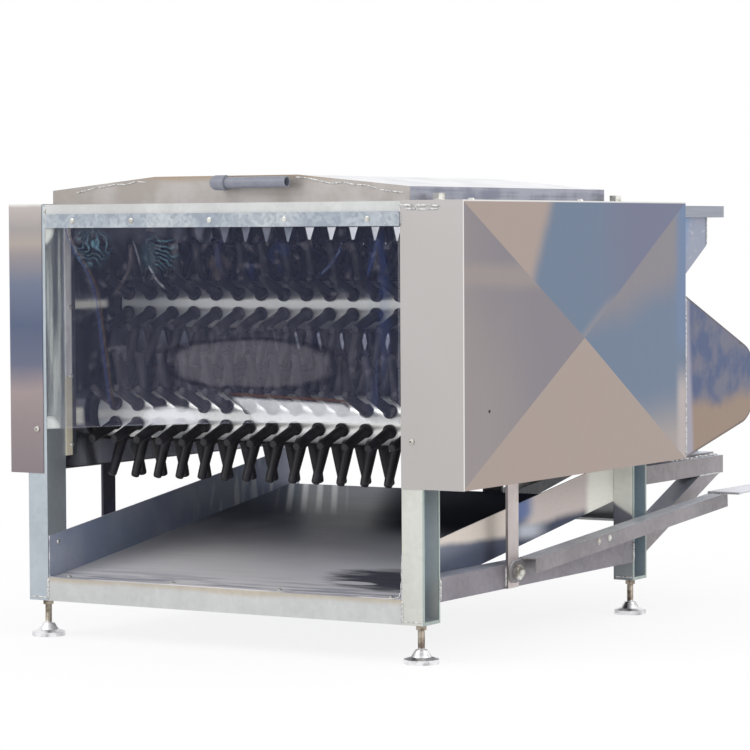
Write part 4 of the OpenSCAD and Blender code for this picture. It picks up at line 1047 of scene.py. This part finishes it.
see_through = vinyl.node("BsdfTransparent", {}, {"Color": (0.98, 0.98, 0.98)})
mirror = vinyl.node("BsdfGlossy", {}, {"Color": (0.9, 0.92, 1.0), "Roughness": 0.05})
sheen = vinyl.node("Fresnel", {}, {"IOR": 1.45}) * 0.18
body = vinyl.node("MixShader", {}, {0: sheen, 1: see_through, 2: mirror})
for share, colour in marks:
    film = vinyl.node("BsdfPrincipled", {}, {"Base Color": colour, "Roughness": 0.45, "Specular IOR Level": 0.1})
    body = vinyl.node("MixShader", {}, {0: share, 1: body, 2: film})
vinyl.show(body)
print("curtain carries", len(marks), "kinds of marks")

# %% Hang the curtain
hung = curtain.mesh("curtain_sheet", vinyl, 180)
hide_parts("curtain", "curtain_strip")
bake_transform(hung)
print("curtain_sheet", len(curtain.points), "points between frame and curtain")

# %% [markdown]
# ## Weld beads
# The frame is welded, and the beads are the plainest sign of hand work on it. A bead is a half round
# cord with a ripple for every pulse of the welder. It is drawn as a tube along the seam, sunk to its
# middle, with its thickness and place wandering a little.

# %% Weld bead helper
weld_metal = speckled("weld_metal", tone(146, 146, 148), tone(214, 214, 212), (240, 4), (0.42, 0.2), 0.6, 0.0001,
                      edges=(0.3, 0.6))
BEAD_SIDES, BEAD_WANDER = 8, 0.15
hand = random.Random(11)


def bead(mould, place, start, end, width, ripple=3.2):
    """A weld bead between two points that place() turns into row metres; width in millimetres."""
    start, end = Vector(start), Vector(end)
    along = (end - start).normalized()
    side = along.orthogonal().normalized()
    across = along.cross(side)
    length = (end - start).length
    steps = max(6, round(length / ripple * 4))
    points, rings = [], []
    for i in range(steps + 1):
        s = i / steps
        pulse = 0.84 + 0.16 * abs(math.sin(math.pi * s * length / ripple))
        taper = min(1, 0.25 + 4 * min(s, 1 - s) * length / (4 * width))
        r = width / 2 * pulse * taper * hand.uniform(0.96, 1.04)
        middle = start + along * (s * length) + side * hand.uniform(-BEAD_WANDER, BEAD_WANDER)
        middle += across * hand.uniform(-BEAD_WANDER, BEAD_WANDER)
        rings.append(range(len(points), len(points) + BEAD_SIDES))
        for k in range(BEAD_SIDES):
            a = math.tau * k / BEAD_SIDES
            points.append(place(*(middle + (side * math.cos(a) + across * math.sin(a)) * r)))
    for tip, where in ((start, 0), (end, steps + 2)):
        rings.insert(where, range(len(points), len(points) + 1))
        points.append(place(*tip))
    mould.add(points, tube_faces(rings))


def crumple(mould, place, start, end, width, swing):
    """A seam beaten over by hand: short beads whose joints jump up and down by swing millimetres."""
    start, end = Vector(start), Vector(end)
    count = max(3, round((end - start).length / 24))
    joints = [start.lerp(end, i / count) + Vector((0, 0, hand.uniform(-swing, swing))) for i in range(count + 1)]
    for one, two in zip(joints, joints[1:]):
        bead(mould, place, one, two, width * hand.uniform(0.7, 1.1), 24)


print("weld bead helpers ready")

# %% Beads on the frame
POST_OUT = HALF_IN + POST_W
BEAM_H, RAIL_LOW, POST_D = 43, 105, 58
REAR_Y = BODY_D - POST_D
FOOT_Z, RAIL_TOP = LEG_Z + 6, RAIL_LOW + BEAM_H
HANGER_Y, HANGER_W, HANGER_TOP = {-1: 236, 1: 297}, 40, 345
HOPPER_X, HOPPER_END = 403, 1199.5

frame_welds = Mould()
for s in (-1, 1):
    for low in (LEG_Z, FRAME_TOP - BEAM_H):
        bead(frame_welds, at, (s * HALF_IN, 0.6, low + 1), (s * HALF_IN, 0.6, low + BEAM_H - 1), 6)
    outer_x, inner_x = s * POST_OUT, s * (HALF_IN + 3)
    for y in (POST_D, REAR_Y):
        bead(frame_welds, at, (outer_x, y, RAIL_LOW + 2), (outer_x, y, RAIL_TOP - 2), 6)
    for y in (0, REAR_Y):
        bead(frame_welds, at, (inner_x, y + 0.4, FOOT_Z), (s * (POST_OUT - 2), y + 0.4, FOOT_Z), 3.4)
        bead(frame_welds, at, (s * (POST_OUT - 6), y + POST_D, FOOT_Z), (inner_x, y + POST_D, FOOT_Z), 3.4)
    near, far = HANGER_Y[s], HANGER_Y[s] + HANGER_W
    for y in (near, far):
        bead(frame_welds, at, (outer_x, y, RAIL_LOW + 3), (outer_x, y, RAIL_TOP - 2), 5)
    bead(frame_welds, at, (outer_x, near + 2, RAIL_TOP), (outer_x, far - 2, RAIL_TOP), 5)
    bead(frame_welds, at, (s * (HALF_IN + 4), near + 2, HANGER_TOP), (s * (HALF_IN + 4), far - 2, HANGER_TOP), 4)
    bead(frame_welds, at, (s * HOPPER_X, HOPPER_END, 722), (s * HOPPER_X, HOPPER_END, 796), 4)
    bead(frame_welds, at, (s * HOPPER_X, BODY_D, 536), (s * HOPPER_X, BODY_D, 774), 3.4)
crumple(frame_welds, at, (HALF_IN + 2, -2, FRAME_TOP - 6), (POST_OUT + 37, -2, FRAME_TOP - 10), 6, 3)
crumple(frame_welds, at, (HALF_IN + 10, -2, FRAME_TOP - 13), (POST_OUT + 34, -2, FRAME_TOP - 15), 4, 2)
bead(frame_welds, at, (503, 890, 308), (503, 887.5, 623), 5.5, 12)
bead(frame_welds, at, (436, 886, 625), (500, 886, 625), 5)
frame_welds.piece("frame_weld_beads", weld_metal, "frame", 60)

# %% Curled front corner of the tray
tray_corner = Mould()
CURL = [(352, 112.6), (366, 113.4), (374, 117), (377.5, 126), (379.5, 146), (380.2, 184)]
for (x0, z0), (x1, z1) in zip(CURL, CURL[1:]):
    bead(tray_corner, at, (x0, 2.5, z0), (x1, 2.5, z1), 3.4, 40)
tray_corner.piece("tray_front_curl", weld_metal, "frame", 60)

# %% Beads on the motor bracket, the lid and the lever
ARM_W, ARM_LOW, ARM_TOP, BRACE_NEAR, BRACE_FAR = 43, 250, 286, 1151, 1246

bracket_welds = Mould()
for x0, foot in ((HALF_IN - 14, 109), (59.5, 182)):
    for x in (x0, x0 + ARM_W):
        bead(bracket_welds, at, (x, BODY_D, foot + 2), (x, BODY_D, ARM_LOW - 2), 4.5)
        bead(bracket_welds, at, (x, BODY_D + 1, ARM_LOW + 2), (x, BODY_D + 1, ARM_TOP - 1), 4.5)
    bead(bracket_welds, at, (x0 + 2, BODY_D + 1, ARM_TOP), (x0 + ARM_W - 2, BODY_D + 1, ARM_TOP), 4.5)
    bead(bracket_welds, at, (x0 + ARM_W, BRACE_NEAR, ARM_LOW), (x0 + ARM_W, BRACE_FAR, ARM_LOW), 4)
    bead(bracket_welds, at, (x0 + ARM_W, BODY_D + 4.5, foot + 3), (x0 + ARM_W, BODY_D + 4.5, foot + 34), 4.5)
crumple(bracket_welds, at, (400, 1030, ARM_TOP + 1), (400, 1258, ARM_TOP + 1), 6, 1.5)
bracket_welds.piece("bracket_weld_beads", weld_metal, "frame", 60)

lid_seams = Mould()
crumple(lid_seams, at, (150, 28.6, 846), (372, 28.6, 822), 4, 4)
crumple(lid_seams, at, (-330, 28.6, 828), (-172, 28.6, 845), 3.2, 3)
lid_seams.piece("lid_seams", weld_metal, "lid", 60)

LEVER_TILT, PIVOT_Y, PIVOT_Z = math.radians(4), 317, 134


def on_lever(x, y, z):
    """A point of the lever's own drawing: Y along the lever from its pivot."""
    c, s = math.cos(LEVER_TILT), math.sin(LEVER_TILT)
    return at(x, PIVOT_Y + y * c - z * s, PIVOT_Z + y * s + z * c)


lever_welds = Mould()
bead(lever_welds, on_lever, (432, 834, 23.4), (463, 834, 23.4), 5)
bead(lever_welds, on_lever, (465, 836, 22.8), (465, 853, 22.8), 5)
bead(lever_welds, on_lever, (435.4, 28, 19.6), (435.4, 148, 19.6), 4)
lever_welds.piece("lever_weld_beads", weld_metal, "foot_lever", 60)

# %% [markdown]
# ## Small fasteners
# A few small things are too fine for the solids: bolts through the motor feet and the lever, a stud
# end at the pivot, threads on the levelling feet, the cross slots of the panel screws and one drilled
# hole in the right cover. Most are turned from short profiles, and six sides make a hexagon; the slots
# are pairs of thin crossed bars.

# %% Bolts and studs
HEX_HEAD = [(0, 0), (10.5, 0), (10.5, 1.6), (8.6, 1.7), (8.6, 7.2), (8.0, 8.0), (0, 8.0)]
STUD_END = [(0, 0), (6.2, 0), (6.6, 0.8), (6.2, 1.6), (6.6, 2.4), (6.2, 3.2), (6.6, 4.0), (6.2, 4.8),
            (5.4, 6.0), (0, 6.2)]
WASHER = [(0, 0), (12, 0), (12, 2.2), (0, 2.2)]
UP, RIGHT = (0, 0, 1), (1, 0, 0)
ROUND_HEAD = [(0, 0), (6.5, 0), (6.5, 0.8), (5.0, 1.0), (4.7, 2.2), (3.4, 3.2), (0, 3.6)]

bolts = Mould()
for x in (329.5, 189.5):
    for y in (1045, 1235):
        for z, profile, sides in ((356, WASHER, 24), (358, HEX_HEAD, 6), (366, STUD_END, 16)):
            turned(bolts, at(x, y, z), UP, profile, sides)
turned(bolts, at(445.1, PIVOT_Y, PIVOT_Z), RIGHT, STUD_END, 16)
bolts.piece("motor_and_pivot_bolts", zinc, "frame")

lever_bolts = Mould()
for y in (273, 318):
    turned(lever_bolts, on_lever(465, y, 14), RIGHT, ROUND_HEAD, 20)
lever_bolts.piece("lever_bolts", zinc, "foot_lever")

# %% Threads on the feet
THREAD_PITCH = 1.75
for name in FEET:
    low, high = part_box(name + "_foot")
    thread = [(0, 24.5), (6.02, 24.5)]
    z = 25.0
    while z < 96:
        thread += [(6.03, z), (6.32, z + 0.5 * THREAD_PITCH)]
        z += THREAD_PITCH
    thread += [(6.02, z), (0, z)]
    mould = Mould()
    turned(mould, Vector(((low.x + high.x) / 2, (low.y + high.y) / 2, 0)), UP, thread, 20)
    mould.piece(name + "_foot_thread", worn, name + "_foot", 25)

# %% Screw slots and the drilled hole
# The slots and the drilled hole are dark pieces that stand for the shade inside them: painted shade.
shadow = Finish("slot_shadow")
shadow.surface(shadow.mix(tone(20, 20, 22), tone(38, 37, 38), shadow.noise(300, 2)), 0.8)


def cross_slot(mould, centre, axis, reach):
    """Two thin bars crossed on a screw head, reach millimetres long each way."""
    axis = Vector(axis)
    one = axis.orthogonal().normalized()
    two = axis.cross(one)
    for a, b in ((one, two), (two, one)):
        corners = [a * (i * reach) + b * (j * reach * 0.22) for i, j in ((-1, -1), (1, -1), (1, 1), (-1, 1))]
        low = [centre + c / 1000 for c in corners]
        top = [p + axis * 0.00025 for p in low]
        walls = [(i, (i + 1) % 4, (i + 1) % 4 + 4, i + 4) for i in range(4)]
        mould.add(low + top, [(3, 2, 1, 0), (4, 5, 6, 7)] + walls)


slots = Mould()
for s in (-1, 1):
    cross_slot(slots, at(s * (POST_OUT - 22), -5.4, 388), (0, -1, 0), 2.4)
    cross_slot(slots, at(s * (HALF_IN - 5.4), 28, 176.8), (-s, 0, 0), 2.2)
for share in (-0.45, -0.145, 0.157, 0.46):
    cross_slot(slots, at(share * 2 * HALF_IN, 14, 116.9), UP, 2.2)
turned(slots, at(505.7, 90.5, 438.7), RIGHT, [(0, 0), (3, 0), (3, 0.5), (0, 0.5)], 20)
slots.piece("screw_slots_and_drilling", shadow, "frame")
